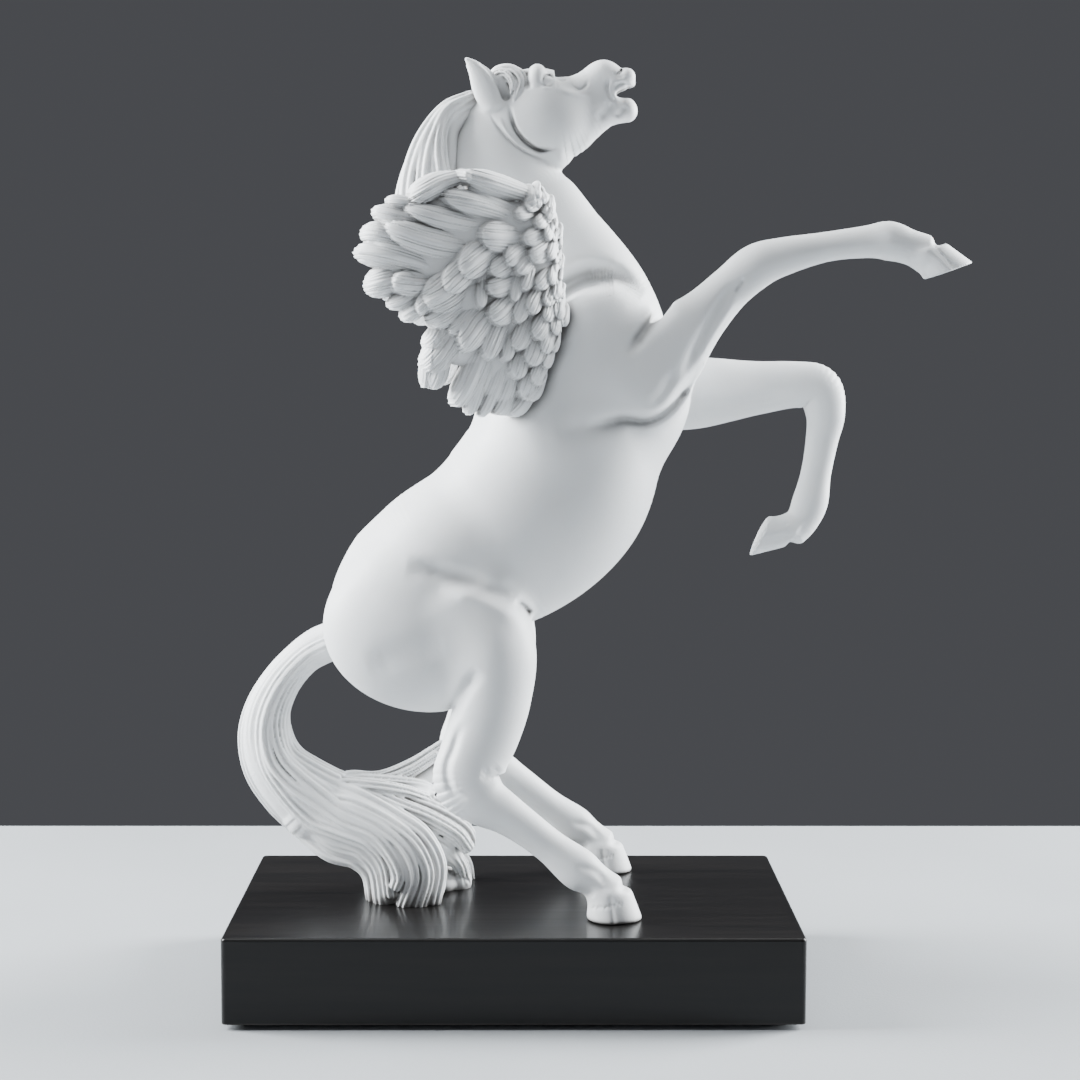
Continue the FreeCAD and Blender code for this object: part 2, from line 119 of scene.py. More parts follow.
class Tube:
    """A limb or lock of hair: oval sections (x, y, z, depth, width) along a smooth line.

    The width is measured along Y as nearly as the line allows, and the depth across it.
    grooves is (how many round the section, how deep, turns along the length).
    """

    def __init__(self, sections, caps=(0.5, 0.5), grooves=None, step=1.2):
        rows = curve(sections, step)
        self.centre = rows[:, :3].astype(np.float32)
        tangent = np.gradient(rows[:, :3], axis=0)
        run = np.linalg.norm(tangent, axis=1, keepdims=True)
        tangent /= run
        across = np.array([0, 1, 0]) - tangent * tangent[:, 1:2]
        across /= np.linalg.norm(across, axis=1, keepdims=True)
        depth = np.cross(across, tangent)
        half = np.maximum(rows[:, 3:5] / 2, 0.15)
        travel = np.concatenate([[0], np.cumsum(np.linalg.norm(np.diff(rows[:, :3], axis=0), axis=1))])
        self.data = np.hstack([tangent, depth, across, half, travel[:, None]]).astype(np.float32)
        self.rate = (np.gradient(self.data, axis=0) / run).astype(np.float32)
        self.caps = caps
        self.grooves = grooves
        self.length = travel[-1]
        reach = half.max(axis=1, keepdims=True)
        self.low = (rows[:, :3] - reach).min(0)
        self.high = (rows[:, :3] + reach).max(0)

    def __call__(self, points):
        gap = points @ (self.centre.T * -2) + (self.centre ** 2).sum(1)
        nearest = gap.argmin(1)
        offset = points - self.centre[nearest]
        data, rate = self.data[nearest], self.rate[nearest]
        along = (offset * data[:, :3]).sum(1)
        past = np.where(nearest == 0, np.minimum(along, 0),
                        np.where(nearest == len(self.centre) - 1, np.maximum(along, 0), 0))
        slide = (along - past)[:, None]
        data = data + rate * slide
        u = (offset * data[:, 3:6]).sum(1)
        v = (offset * data[:, 6:9]).sum(1)
        a = np.maximum(data[:, 9], 0.12)
        b = np.maximum(data[:, 10], 0.12)
        cap = np.where(past < 0, self.caps[0], self.caps[1]) * np.minimum(a, b) * 2
        result = oval_distance(u, v, past, a, b, np.maximum(cap, 0.1))
        if self.grooves:
            count, depth, turns = self.grooves
            angle = np.arctan2(v / b, u / a)
            wave = np.cos(count * angle + turns * 2 * np.pi * data[:, 11] / self.length)
            fade = np.clip(np.minimum(a, b) / 1.6, 0, 1)
            result = result + depth * fade * (0.5 + 0.5 * wave) ** 2
        return result


class Ball:
    """An ellipsoid, leaning in the side view by some degrees."""

    def __init__(self, centre, radii, lean=0):
        self.centre = np.array(centre, np.float32)
        self.radii = radii
        lean = math.radians(lean)
        self.axes = np.array([[math.cos(lean), 0, -math.sin(lean)], [0, 1, 0],
                              [math.sin(lean), 0, math.cos(lean)]], np.float32)
        self.low = self.centre - max(radii)
        self.high = self.centre + max(radii)

    def __call__(self, points):
        local = (points - self.centre) @ self.axes
        return oval_distance(local[:, 0], local[:, 1], local[:, 2], *self.radii)


class Frustum:
    """A hoof: an oval cone from the coronet to a flat sole, both (centre, half length, half width).

    heading is the direction of the toe, along which the half lengths are measured.
    """

    def __init__(self, top, foot, heading, edge=0.7):
        (top_at, top_long, top_wide), (foot_at, foot_long, foot_wide) = top, foot
        self.top = np.array(top_at, np.float32)
        self.foot = np.array(foot_at, np.float32)
        toe = np.array(heading, float)
        self.toe = (toe / np.linalg.norm(toe)).astype(np.float32)
        normal = np.cross(self.toe, (0, 1, 0))
        if normal @ (self.foot - self.top) < 0:
            normal = -normal
        self.down = normal.astype(np.float32)
        self.drop = float(self.down @ (self.foot - self.top))
        self.long = (top_long, foot_long)
        self.wide = (top_wide, foot_wide)
        self.edge = edge
        reach = max(foot_long, foot_wide, top_long) + 3
        self.low = np.minimum(self.top, self.foot) - reach
        self.high = np.maximum(self.top, self.foot) + reach

    def __call__(self, points):
        offset = points - self.top
        fall = offset @ self.down
        part = np.clip(fall / self.drop, -0.3, 1.1)
        centre = self.top + part[:, None] * (self.foot - self.top)
        across = points - centre
        u = across @ self.toe
        v = across[:, 1]
        a = self.long[0] + (self.long[1] - self.long[0]) * part
        b = self.wide[0] + (self.wide[1] - self.wide[0]) * part
        # the hoof is round at the toe and squarer at the heels
        b = b * (1 + 0.06 * np.tanh(-u))
        wall = oval_distance(u, v, 0 * u, a, b, 1 + 0 * u)
        sole = fall - self.drop
        lid = -fall - 1.0    # the cone starts 1 mm above the coronet, inside the leg
        return -smooth_min(-wall, -np.maximum(sole, lid), self.edge)


class Stroke:
    """A soft line that raises the surface, or engraves it where height is negative.

    Points (x, z) run straight through in Y: on the right side (-1), the left (1) or both (0),
    and a stroke on one side fades out towards the middle. Points (x, y, z) act only near the
    line. A stroke fades out over its two ends.
    """

    def __init__(self, points, radius, height, side):
        self.flat = len(points[0]) == 2
        self.side = side
        self.radius = radius
        places = [(x, 0, z, 0) for x, z in points] if self.flat else [(*p, 0) for p in points]
        self.rows = curve(places, max(0.15 * radius, 0.25))[:, :3].astype(np.float32)
        part = np.linspace(0, 1, len(self.rows))
        ends = np.clip(4 * np.minimum(part, 1 - part) + 0.02, 0, 1)
        self.strength = (height * ends).astype(np.float32)
        self.tangent = np.gradient(self.rows, axis=0)
        self.tangent /= np.linalg.norm(self.tangent, axis=1, keepdims=True)
        self.tangent[[0, -1]] = 0
        self.low, self.high = self.rows.min(0), self.rows.max(0)
        if self.flat:
            self.low[1] = -HALF_SPAN if side <= 0 else 0
            self.high[1] = HALF_SPAN if side >= 0 else 0

    def __call__(self, points):
        """How far the surface rises at each point."""
        fade = 1
        if self.flat and self.side:
            aside = np.clip(self.side * points[:, 1] / SIDE_FADE, 0, 1)
            fade = aside * aside * (3 - 2 * aside)
        if self.flat:
            points = points * np.array([1, 0, 1], np.float32)
        gap = (points ** 2).sum(1)[:, None] + points @ (self.rows.T * -2) + (self.rows ** 2).sum(1)
        nearest = gap.argmin(1)
        along = ((points - self.rows[nearest]) * self.tangent[nearest]).sum(1)
        closest = np.maximum(gap[np.arange(len(points)), nearest] - along ** 2, 0)
        return fade * self.strength[nearest] * np.exp(-closest / (0.5 * self.radius ** 2))


class Clay:
    """A solid built from shapes in order, then meshed over a box."""

    block = 8     # voxels along the edge of a block
    band = 3      # voxels of distance kept each side of the surface

    def __init__(self):
        self.steps = []

    def add(self, shape, blend=0.0, mirror=False):
        """Join a shape on, with a fillet about blend wide."""
        self.steps.append(("add", shape, blend, mirror))

    def cut(self, shape, blend=0.0, mirror=False):
        """Take a shape away."""
        self.steps.append(("cut", shape, blend, mirror))

    def stroke(self, points, radius, height, side=0):
        """Raise a soft ridge along a line, or engrave a groove where height is negative."""
        self.steps.append(("stroke", Stroke(points, radius, height, side), 1.4 * radius, False))

    def evaluate(self, points):
        """The distance at each point: negative inside."""
        result = np.full(len(points), OUTSIDE, np.float32)
        folded = points.copy()
        folded[:, 1] = -np.abs(folded[:, 1])
        for action, shape, blend, mirror in self.steps:
            places = folded if mirror else points
            margin = blend + (shape.radius if action == "stroke" else OUTREACH)
            inside = (places > shape.low - margin) & (places < shape.high + margin)
            chosen = np.flatnonzero(inside.all(1))
            if not len(chosen):
                continue
            near, here = places[chosen], result[chosen]
            if action == "add":
                here = smooth_min(here, shape(near), blend)
            elif action == "cut":
                here = -smooth_min(-here, shape(near), blend)
            else:
                here = here - shape(near)
            result[chosen] = here
        return result

    def mesh(self, low, high, voxel):
        """Mesh the part of the solid inside a box, and return its points and quads, in mm."""
        voxel = voxel * COARSE
        side = self.block * voxel
        start = np.floor(np.array(low) / side) * side
        blocks = np.ceil((np.array(high) - start) / side).astype(int)
        corners = np.indices(blocks).reshape(3, -1).T
        middles = (start + (corners + 0.5) * side).astype(np.float32)
        rough = self.run(middles)
        # only blocks that the surface may pass through are filled in finely
        half_diagonal = side * math.sqrt(3) / 2
        close = corners[np.abs(rough) < half_diagonal * 1.35 + 1.2]
        inner = np.indices((self.block,) * 3).reshape(3, -1).T
        places = (close[:, None, :] * self.block + inner).reshape(-1, 3)
        values = self.run((start + places * voxel).astype(np.float32))
        limit = self.band * voxel
        grid = np.repeat(np.repeat(np.repeat(
            np.where(rough < 0, -limit, limit).reshape(blocks).astype(np.float32),
            self.block, 0), self.block, 1), self.block, 2)
        grid[tuple(places.T)] = np.clip(values, -limit, limit)
        volume = openvdb.FloatGrid(limit)
        volume.copyFromArray(grid)
        points, quads = volume.convertToQuads(0.0)
        return points * voxel + start, quads

    def run(self, points):
        """Evaluate many points, shared among the processor's cores."""
        parts = np.array_split(points, max(1, len(points) // CHUNK))
        with ThreadPoolExecutor(CORES) as pool:
            return np.concatenate(list(pool.map(self.evaluate, parts)))


def place_piece(mesh, name):
    """Put a mesh in the scene, in place of the frame's casting of that name."""
    piece = bpy.data.objects.new(name, mesh)
    bpy.context.scene.collection.objects.link(piece)
    node = f"{name}_casting"
    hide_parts(node)
    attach(piece, "root")
    return piece


def make_piece(name, points, faces):
    """A smooth-shaded piece from points in mm."""
    mesh = bpy.data.meshes.new(name)
    mesh.from_pydata((points * MM).tolist(), [], faces.tolist())
    mesh.polygons.foreach_set("use_smooth", [True] * len(mesh.polygons))
    return place_piece(mesh, name)


def trim(piece, joints):
    """Cut a mesh along planes (point in mm, outward normal) and close each cut with a flat cap."""
    shape = bmesh.new()
    shape.from_mesh(piece.data)
    for point, normal in joints:
        everything = shape.verts[:] + shape.edges[:] + shape.faces[:]
        cut = bmesh.ops.bisect_plane(shape, geom=everything, plane_co=[c * MM for c in point],
                                     plane_no=normal, clear_outer=True)
        rim = [e for e in cut["geom_cut"] if isinstance(e, bmesh.types.BMEdge) and e.is_boundary]
        caps = bmesh.ops.contextual_create(shape, geom=rim)["faces"] if rim else []
        for face in caps:
            face.smooth = False
        for edge in rim:
            edge.smooth = False
    bmesh.ops.recalc_face_normals(shape, faces=shape.faces[:])
    shape.to_mesh(piece.data)
    shape.free()


def mirrored(source, name):
    """The same piece on the horse's other side."""
    mesh = source.data.copy()
    mesh.name = name
    mesh.transform(Matrix.Scale(-1, 4, (0, 1, 0)))
    mesh.flip_normals()
    return place_piece(mesh, name)


def largest_shell(points, quads):
    """Drop any loose crumb that is not part of the largest connected surface."""
    label = np.arange(len(points))
    while True:
        lowest = label[quads].min(1)
        before = label.copy()
        for corner in range(quads.shape[1]):
            np.minimum.at(label, quads[:, corner], lowest)
        label = label[label]
        if (label == before).all():
            break
    owner = label[quads[:, 0]]
    kept = quads[owner == np.bincount(owner).argmax()]
    used = np.unique(kept)
    renumber = np.zeros(len(points), int)
    renumber[used] = np.arange(len(used))
    return points[used], renumber[kept]


# ---------------------------------------------------------------- the horse's body

body = Clay()

TRUNK = [
    (-51, 0, 135, 32, 32), (-42, 0, 142, 49, 48), (-27, 0, 154.5, 57, 57), (-4.3, 0, 164.8, 66.8, 57),
    (13.5, 0, 180.5, 69, 59), (21.5, 0, 200, 65, 59), (24.5, 0, 222, 65, 54), (21, 0, 243, 60, 42),
    (6.4, 0, 267, 52.5, 32), (-3, 0, 284, 47, 25), (-6, 0, 300, 36, 21), (-5, 0, 313, 26, 17),
]
GASKIN_TO_HOOF = [
    (-16, -20, 142, 34, 26), (-8, -23.5, 126, 31, 27), (-8.3, -26, 110, 28.5, 22.5),
    (-10.8, -28, 98, 26, 19.5), (-14.5, -30.3, 88.5, 24.5, 16.5), (-16, -31.8, 80.5, 25, 15),
    (-11, -32.4, 74, 19, 14.2), (-3.5, -33, 69.4, 14.8, 12.4), (4, -33.5, 64.3, 12.8, 11.4),
    (13, -34, 57.4, 12.2, 11.2), (22.3, -34.7, 50, 14.8, 12.8), (28.5, -35, 45.6, 12.4, 12.6),
    (32.5, -35, 42.2, 13.4, 13.8),
]
RIGHT_FORELEG = [
    (42, -15, 221, 30, 27), (51, -18, 228, 31, 24), (59, -19.7, 237, 24, 20),
    (67, -20.8, 245, 18, 16.5), (75.2, -21.3, 253.3, 15.4, 14), (84, -22, 260.6, 15.6, 13.4),
    (93, -22, 264, 13.4, 12), (108, -22, 267.4, 10.4, 10), (122, -22, 269.2, 11.2, 10.6),
    (130, -22, 269.6, 13.6, 12.4), (137, -22, 267.6, 12.2, 11.6), (142, -22, 265.8, 12.6, 12.2),
]
LEFT_FORELEG = [
    (42, 15, 221, 30, 27), (55, 18, 218, 33, 23), (66, 20, 216, 27.5, 20), (78, 21, 216.6, 23.5, 17.4),
    (90, 22, 217.6, 19.8, 15.4), (104, 22, 218.8, 17.2, 14.4), (112.5, 22, 217, 17.4, 14),
    (115.2, 22, 208, 14.6, 12.2), (114, 22, 198, 12, 10.6), (112, 22, 186, 11.2, 10),
    (110, 22, 175.5, 13.2, 11.8), (107.2, 22, 168.6, 12.2, 11.6), (103.5, 22, 164.8, 12.4, 12.4),
]


def model_trunk():
    """Trunk, haunches, shoulders and legs, with the main muscle lines."""
    body.add(Tube(TRUNK, caps=(0.35, 0.3)))
    body.add(Ball((10.5, 0, 203), (24.5, 27, 28)), blend=10)
    body.add(Ball((4, 0, 176), (31.5, 28, 31.5)), blend=6)
    body.add(Ball((-40.5, 0, 142), (25.5, 24, 26)), blend=6)
    body.add(Ball((49, 0, 213), (13, 16, 18), lean=-15), blend=12)
    body.add(Ball((30, -16, 232), (19, 13, 24), lean=20), blend=9, mirror=True)
    body.add(Ball((-32.5, -15, 131.5), (36, 18.5, 29), lean=-8), blend=7, mirror=True)
    body.add(Tube(GASKIN_TO_HOOF, caps=(0.3, 0.3)), blend=7, mirror=True)
    body.add(Tube(RIGHT_FORELEG, caps=(0.3, 0.3)), blend=7)
    body.add(Ball((47, -18, 217), (13, 11, 12), lean=20), blend=6)
    body.add(Tube(LEFT_FORELEG, caps=(0.3, 0.3)), blend=7)

    # the fold between the belly and the thigh, and the thigh's upper edge under it
    body.stroke([(-38, 156), (-30, 155), (-18.8, 151.5), (-7.6, 147.5), (1, 144)], 4.6, -2.2)
    body.stroke([(-26, 149), (-14, 145.5), (-4, 141), (3, 135)], 4.2, 1.0)
    body.stroke([(0, 143.5), (3, 141), (5.8, 137)], 1.6, -1.5)
    # haunch, buttock and gaskin
    body.stroke([(-52, 121), (-38, 125.5), (-24, 128.5)], 7, -0.9)
    body.stroke([(-12, 121), (-16.5, 114), (-20.5, 107.5), (-23, 101.5)], 3.2, -1.7)
    body.stroke([(-17, 102), (-19.3, 98.4), (-21.3, 92.6), (-23.3, 87.4), (-23.3, 82.7),
                 (-21.3, 78), (-16, 75.6)], 1.9, -1.0)
    body.stroke([(-12, 84.5), (-8, 84), (-5, 86.5)], 3, -0.7)
    # shoulder: the hollow at the base of the neck, the front of the arm, and the elbow's fold
    body.stroke([(2, 238), (10, 247), (17, 253.5), (25, 257.5), (34, 257.5), (40, 254.5),
                 (45, 250.5)], 5, -4.4)
    body.stroke([(6, 242), (12, 248), (19, 253.5), (27, 256.5), (35, 256.5)], 7, -5)
    body.stroke([(56, 247.5), (47.4, 240.5), (43.7, 236.3), (39, 230)], 3.2, -3.2, side=-1)
    body.stroke([(24, 204.5), (31, 205.5), (38, 207.2), (46, 207), (53, 210.5), (60, 218.5),
                 (66, 227)], 2.8, -2.9, side=-1)
    body.stroke([(14, 203.5), (26, 205), (38, 207)], 5.5, -1.2, side=-1)
    body.stroke([(56, 225), (51.5, 217), (46, 211)], 3, -0.8, side=-1)
    body.stroke([(24, 204.5), (34, 206), (46, 206), (56, 203)], 3.5, -2, side=1)
    # the forearm's two long muscles
    body.stroke([(58, 222), (61.5, 230), (66, 239), (71, 248), (77, 255.5)], 2.3, -1.2, side=-1)
    body.stroke([(63, 226), (67.5, 234), (72.5, 242.5), (77.5, 250)], 1.8, 0.5, side=-1)
    body.stroke([(76, 251.5), (79.2, 256.6)], 1.0, -0.9, side=-1)
    body.stroke([(62, 211), (76, 212), (92, 214.5), (103, 216.5)], 3, -1.2, side=1)


def model_hooves():
    """Four hooves, with the hollows of the pasterns and a few hairs cut over each coronet."""
    body.add(Frustum(((33.8, -35, 42), 7.6, 7.3), ((35.3, -35, PLINTH_TOP), 9.9, 8.8), (1, 0, 0), 1.6),
             blend=2.5, mirror=True)
    body.add(Frustum(((144.6, -22, 265.8), 7.0, 6.6), ((151.2, -22, 259.2), 8.9, 7.6),
                     (0.94, 0, 0.33)), blend=2.5)
    body.add(Frustum(((102.2, 22, 163.9), 6.5, 6.5), ((91, 22, 162.4), 8.2, 7.6),
                     (-0.43, 0, -0.9)), blend=2.5)
    body.stroke([(21, 52.4), (27.3, 50.6), (30.7, 47.7), (33.1, 44.7)], 2, -0.55)
    body.stroke([(27.5, 41), (25.5, 43), (21, 43.5)], 2.2, -0.6)
    hairs = [((27.2, 36.6), (1.2, 1.8), 8, 1.35, 0.25), ((146.5, 266.5), (-1.5, 1.0), 6, 1.0, -1.1),
             ((100, 167.2), (1.2, 0.8), 6, 0.35, -1.6)]
    for (x, z), (lean_x, lean_z), count, step_x, step_z in hairs:
        for i in range(count):
            start = (x + i * step_x, z + i * step_z)
            wave = 0.35 * math.sin(2.3 * i)
            middle = (start[0] + 0.5 * lean_x + wave * 0.5, start[1] + 0.5 * lean_z)
            end = (start[0] + lean_x + wave, start[1] + lean_z * (1 + 0.3 * wave))
            body.stroke([start, middle, end], 0.38, -0.28)


HEAD = [
    (-11, 0, 318.5, 12, 10), (-3, 0, 317.5, 25, 17), (7, 0, 315.8, 31.5, 19), (15, 0, 314, 30.4, 17.5),
    (23, 0, 317.4, 24.6, 15), (28.5, 0, 320.8, 21, 12.6), (33, 0, 322.8, 19.4, 11.8),
]


def model_skull():
    """The raised head's main forms: skull, throat, cheeks, brows, nose and jaw."""
    body.add(Tube(HEAD, caps=(0.4, 0.4)), blend=5)
    body.add(Ball((14.5, 0, 300.6), (5, 7, 4.4), lean=-20), blend=3)
    body.add(Ball((-5, -4.4, 324.5), (3.6, 3.4, 4.5)), blend=1, mirror=True)
    body.add(Ball((31, 0, 329.6), (5.6, 5, 4.4), lean=12), blend=4)
    body.add(Ball((36.8, 0, 326.6), (6.0, 6.2, 4.3), lean=-18), blend=3)
    body.add(Ball((39.6, -2.6, 328.3), (2.9, 3.2, 2.8), lean=-25), blend=1.6, mirror=True)
    body.add(Tube([(29, 0, 316, 11, 10), (35, 0, 315.8, 8, 9), (39.6, 0, 316.6, 8.6, 9.6)],
                  caps=(0.4, 0.45)), blend=3)
    body.add(Ball((11.2, -5.2, 315), (12.4, 6.3, 12.6)), blend=4, mirror=True)
    body.add(Ball((7.4, -5.6, 327.2), (3.7, 4.6, 4.9), lean=-10), blend=2, mirror=True)


def model_mouth():
    """The open mouth, its corner, the nostril and the chin."""
    body.cut(Ball((41, 0, 322.9), (6.4, 9, 1.7), lean=14), blend=1.0)
    body.stroke([(34.6, 322.6), (36, 324.9), (38.6, 325.4), (41, 324.2)], 0.9, -0.6)
    body.stroke([(33.4, 327), (32.4, 323.8), (33.6, 320.4), (35.5, 318.8)], 0.9, -0.7)
    body.stroke([(35.4, 328.2), (37, 329.4), (38, 331)], 0.9, -0.9)
    body.stroke([(34.2, 329.4), (36.2, 327.6), (38.6, 328)], 0.8, -0.5)
    body.stroke([(35.4, 313.6), (37.4, 315.6), (39.4, 317.6)], 1.5, -1.0)
    body.stroke([(29, 312.5), (32, 315.5), (34.5, 319)], 2.2, -0.8)


def model_cheek():
    """The cheek's rim, the folds of skin behind the jaw and the furrow along the mane."""
    body.stroke([(-2, 317.5), (-1.2, 312.4), (0.6, 308.1), (4.1, 304.3), (8.8, 302), (14.5, 302.6)],
                1.0, -1.7)
    body.stroke([(-9, 314.5), (-6, 309.6), (-2, 305), (3, 301.4), (10, 298.6)], 0.8, -0.7)
    body.stroke([(-6, 313.5), (-4, 309.6), (-0.2, 304.8), (5, 301)], 0.9, 0.35)
    body.stroke([(-18, 320.5), (-20.5, 317.5), (-22.8, 312), (-23.6, 305), (-23, 299), (-21, 293)],
                1.5, -1.6)


def model_eye():
    """Eye, lids, brow and the hollows round them."""
    body.add(Ball((11.3, -7.4, 325.6), (1.9, 1.6, 1.6)), blend=0.5, mirror=True)
    body.stroke([(9.4, 325), (10, 327.2), (11.8, 328), (13.8, 326.6)], 0.55, -0.7)
    body.stroke([(9.4, 325.2), (10.4, 323.9), (12.4, 323.8), (14, 325.4)], 0.5, -0.55)
    body.stroke([(8.9, 323.2), (11.5, 323.6), (14.5, 325.2)], 0.8, 0.35)
    body.stroke([(3.4, 330.5), (3.6, 326.5), (4.8, 322.5)], 1.7, -1.3)
    body.stroke([(14.4, 326.6), (16.4, 325.9), (18.6, 326.9)], 0.6, -0.4)
    body.stroke([(20, 325.4), (20.9, 323.8), (23, 323), (25.2, 324.8), (25.4, 326.8)], 0.7, -0.45)
    body.stroke([(14.5, 323.5), (20, 321.5), (27, 320.8)], 1.6, 0.5)


def model_ears():
    """Two leaf-shaped ears, open to the front."""
    body.add(Tube([(-7.2, -6.6, 317.5, 9, 6.5), (-9.3, -7.2, 322, 10.6, 6), (-12, -7.7, 327, 8.6, 4.6),
                   (-14.7, -8, 330.8, 4.8, 2.8), (-17.2, -8, 333.4, 1.4, 1.3)], caps=(0.3, 0.4)),
             blend=1.6, mirror=True)
    body.cut(Tube([(-3.4, -8.4, 320.5, 3, 3), (-5, -8.8, 325, 3.4, 2.8), (-8.4, -8.8, 329, 2.2, 1.8),
                   (-12, -8.6, 331.6, 0.8, 0.8)]), blend=0.8, mirror=True)


# the forelock's locks on the left side
FORELOCK = [
    [(-9, 0.5, 326, 5, 6), (-5.6, 2.4, 329.4, 5.4, 6), (-1, 4.6, 329.2, 5.4, 5),
     (1.4, 7.2, 325.6, 4.4, 3.6), (0.4, 8.8, 321.4, 3, 2.6), (-0.8, 9.2, 318, 0.9, 0.9)],
    [(-7, 0.5, 328, 5, 6), (-2.4, 2, 330, 4.6, 5), (1.6, 4.4, 328.6, 3.8, 4),
     (3, 6.8, 325.4, 2.8, 2.8), (1.8, 8.4, 321.6, 1.4, 1.4)],
    [(-9, 1, 325, 5, 5), (-6.6, 4, 328.6, 4, 4.4), (-3.4, 6.6, 328.4, 3.4, 3.4),
     (-1.2, 8.4, 325, 2.8, 2.8), (-1.6, 9.4, 321.4, 1, 1)],
]


def model_forelock():
    """The forelock falls between the ears and curls forward of each."""
    for side in (-1, 1):
        for lock in FORELOCK:
            rows = [(x, side * y, z, deep, wide) for x, y, z, deep, wide in lock]
            body.add(Tube(rows, caps=(0.3, 0.5), grooves=(7, 0.7, 0.5), step=0.5), blend=0.3)


for model in (model_trunk, model_hooves, model_skull, model_mouth, model_cheek, model_eye,
              model_ears, model_forelock):
    model()


# planes that part the castings: a point and the normal of the side that is cut away
NECK_JOINT = ((20, 0, 247), (-0.26, 0, 1))
FORE_JOINT = ((66, 0, 0), (1, 0, 0))
HIND_JOINT = ((0, 0, 99), (0, 0, -1))


def other_side(joint):
    """The same plane, with the other side cut away."""
    place, normal = joint
    return place, tuple(-part for part in normal)


def body_castings():
    """Mesh the body's castings, each over its own box, and part them at their joints."""
    # name, box from low to high corner, voxel, joints
    plan = [
        ("torso", (-78, -46, 92), (74, 46, 266), 0.7, [NECK_JOINT, FORE_JOINT, HIND_JOINT]),
        ("head_and_neck", (-45, -26, 232), (64, 26, 340), 0.36, [other_side(NECK_JOINT)]),
        ("right_foreleg", (62, -36, 205), (164, -6, 284), 0.42, [other_side(FORE_JOINT)]),
        ("left_foreleg", (62, 6, 148), (128, 36, 240), 0.42, [other_side(FORE_JOINT)]),
        ("right_hind_leg", (-36, -48, 30), (50, -12, 103), 0.42, [other_side(HIND_JOINT)]),
    ]
    pieces = []
    for name, low, high, voxel, joints in plan:
        piece = make_piece(name, *largest_shell(*body.mesh(low, high, voxel)))
        trim(piece, joints)
        pieces.append(piece)
    pieces.append(mirrored(pieces[-1], "left_hind_leg"))
    return pieces


castings = body_castings()

# ---------------------------------------------------------------- wings

WING_HINGE = (16, -27)     # X and Y of the upright line where the right wing starts
WING_FLARE = 23            # degrees it stands off the flank
BEND_START = 25            # mm out from the hinge, where it starts to curve back
WING_REACH = ((-9, 84), (203, 297))    # how far it goes out from the hinge, and in height

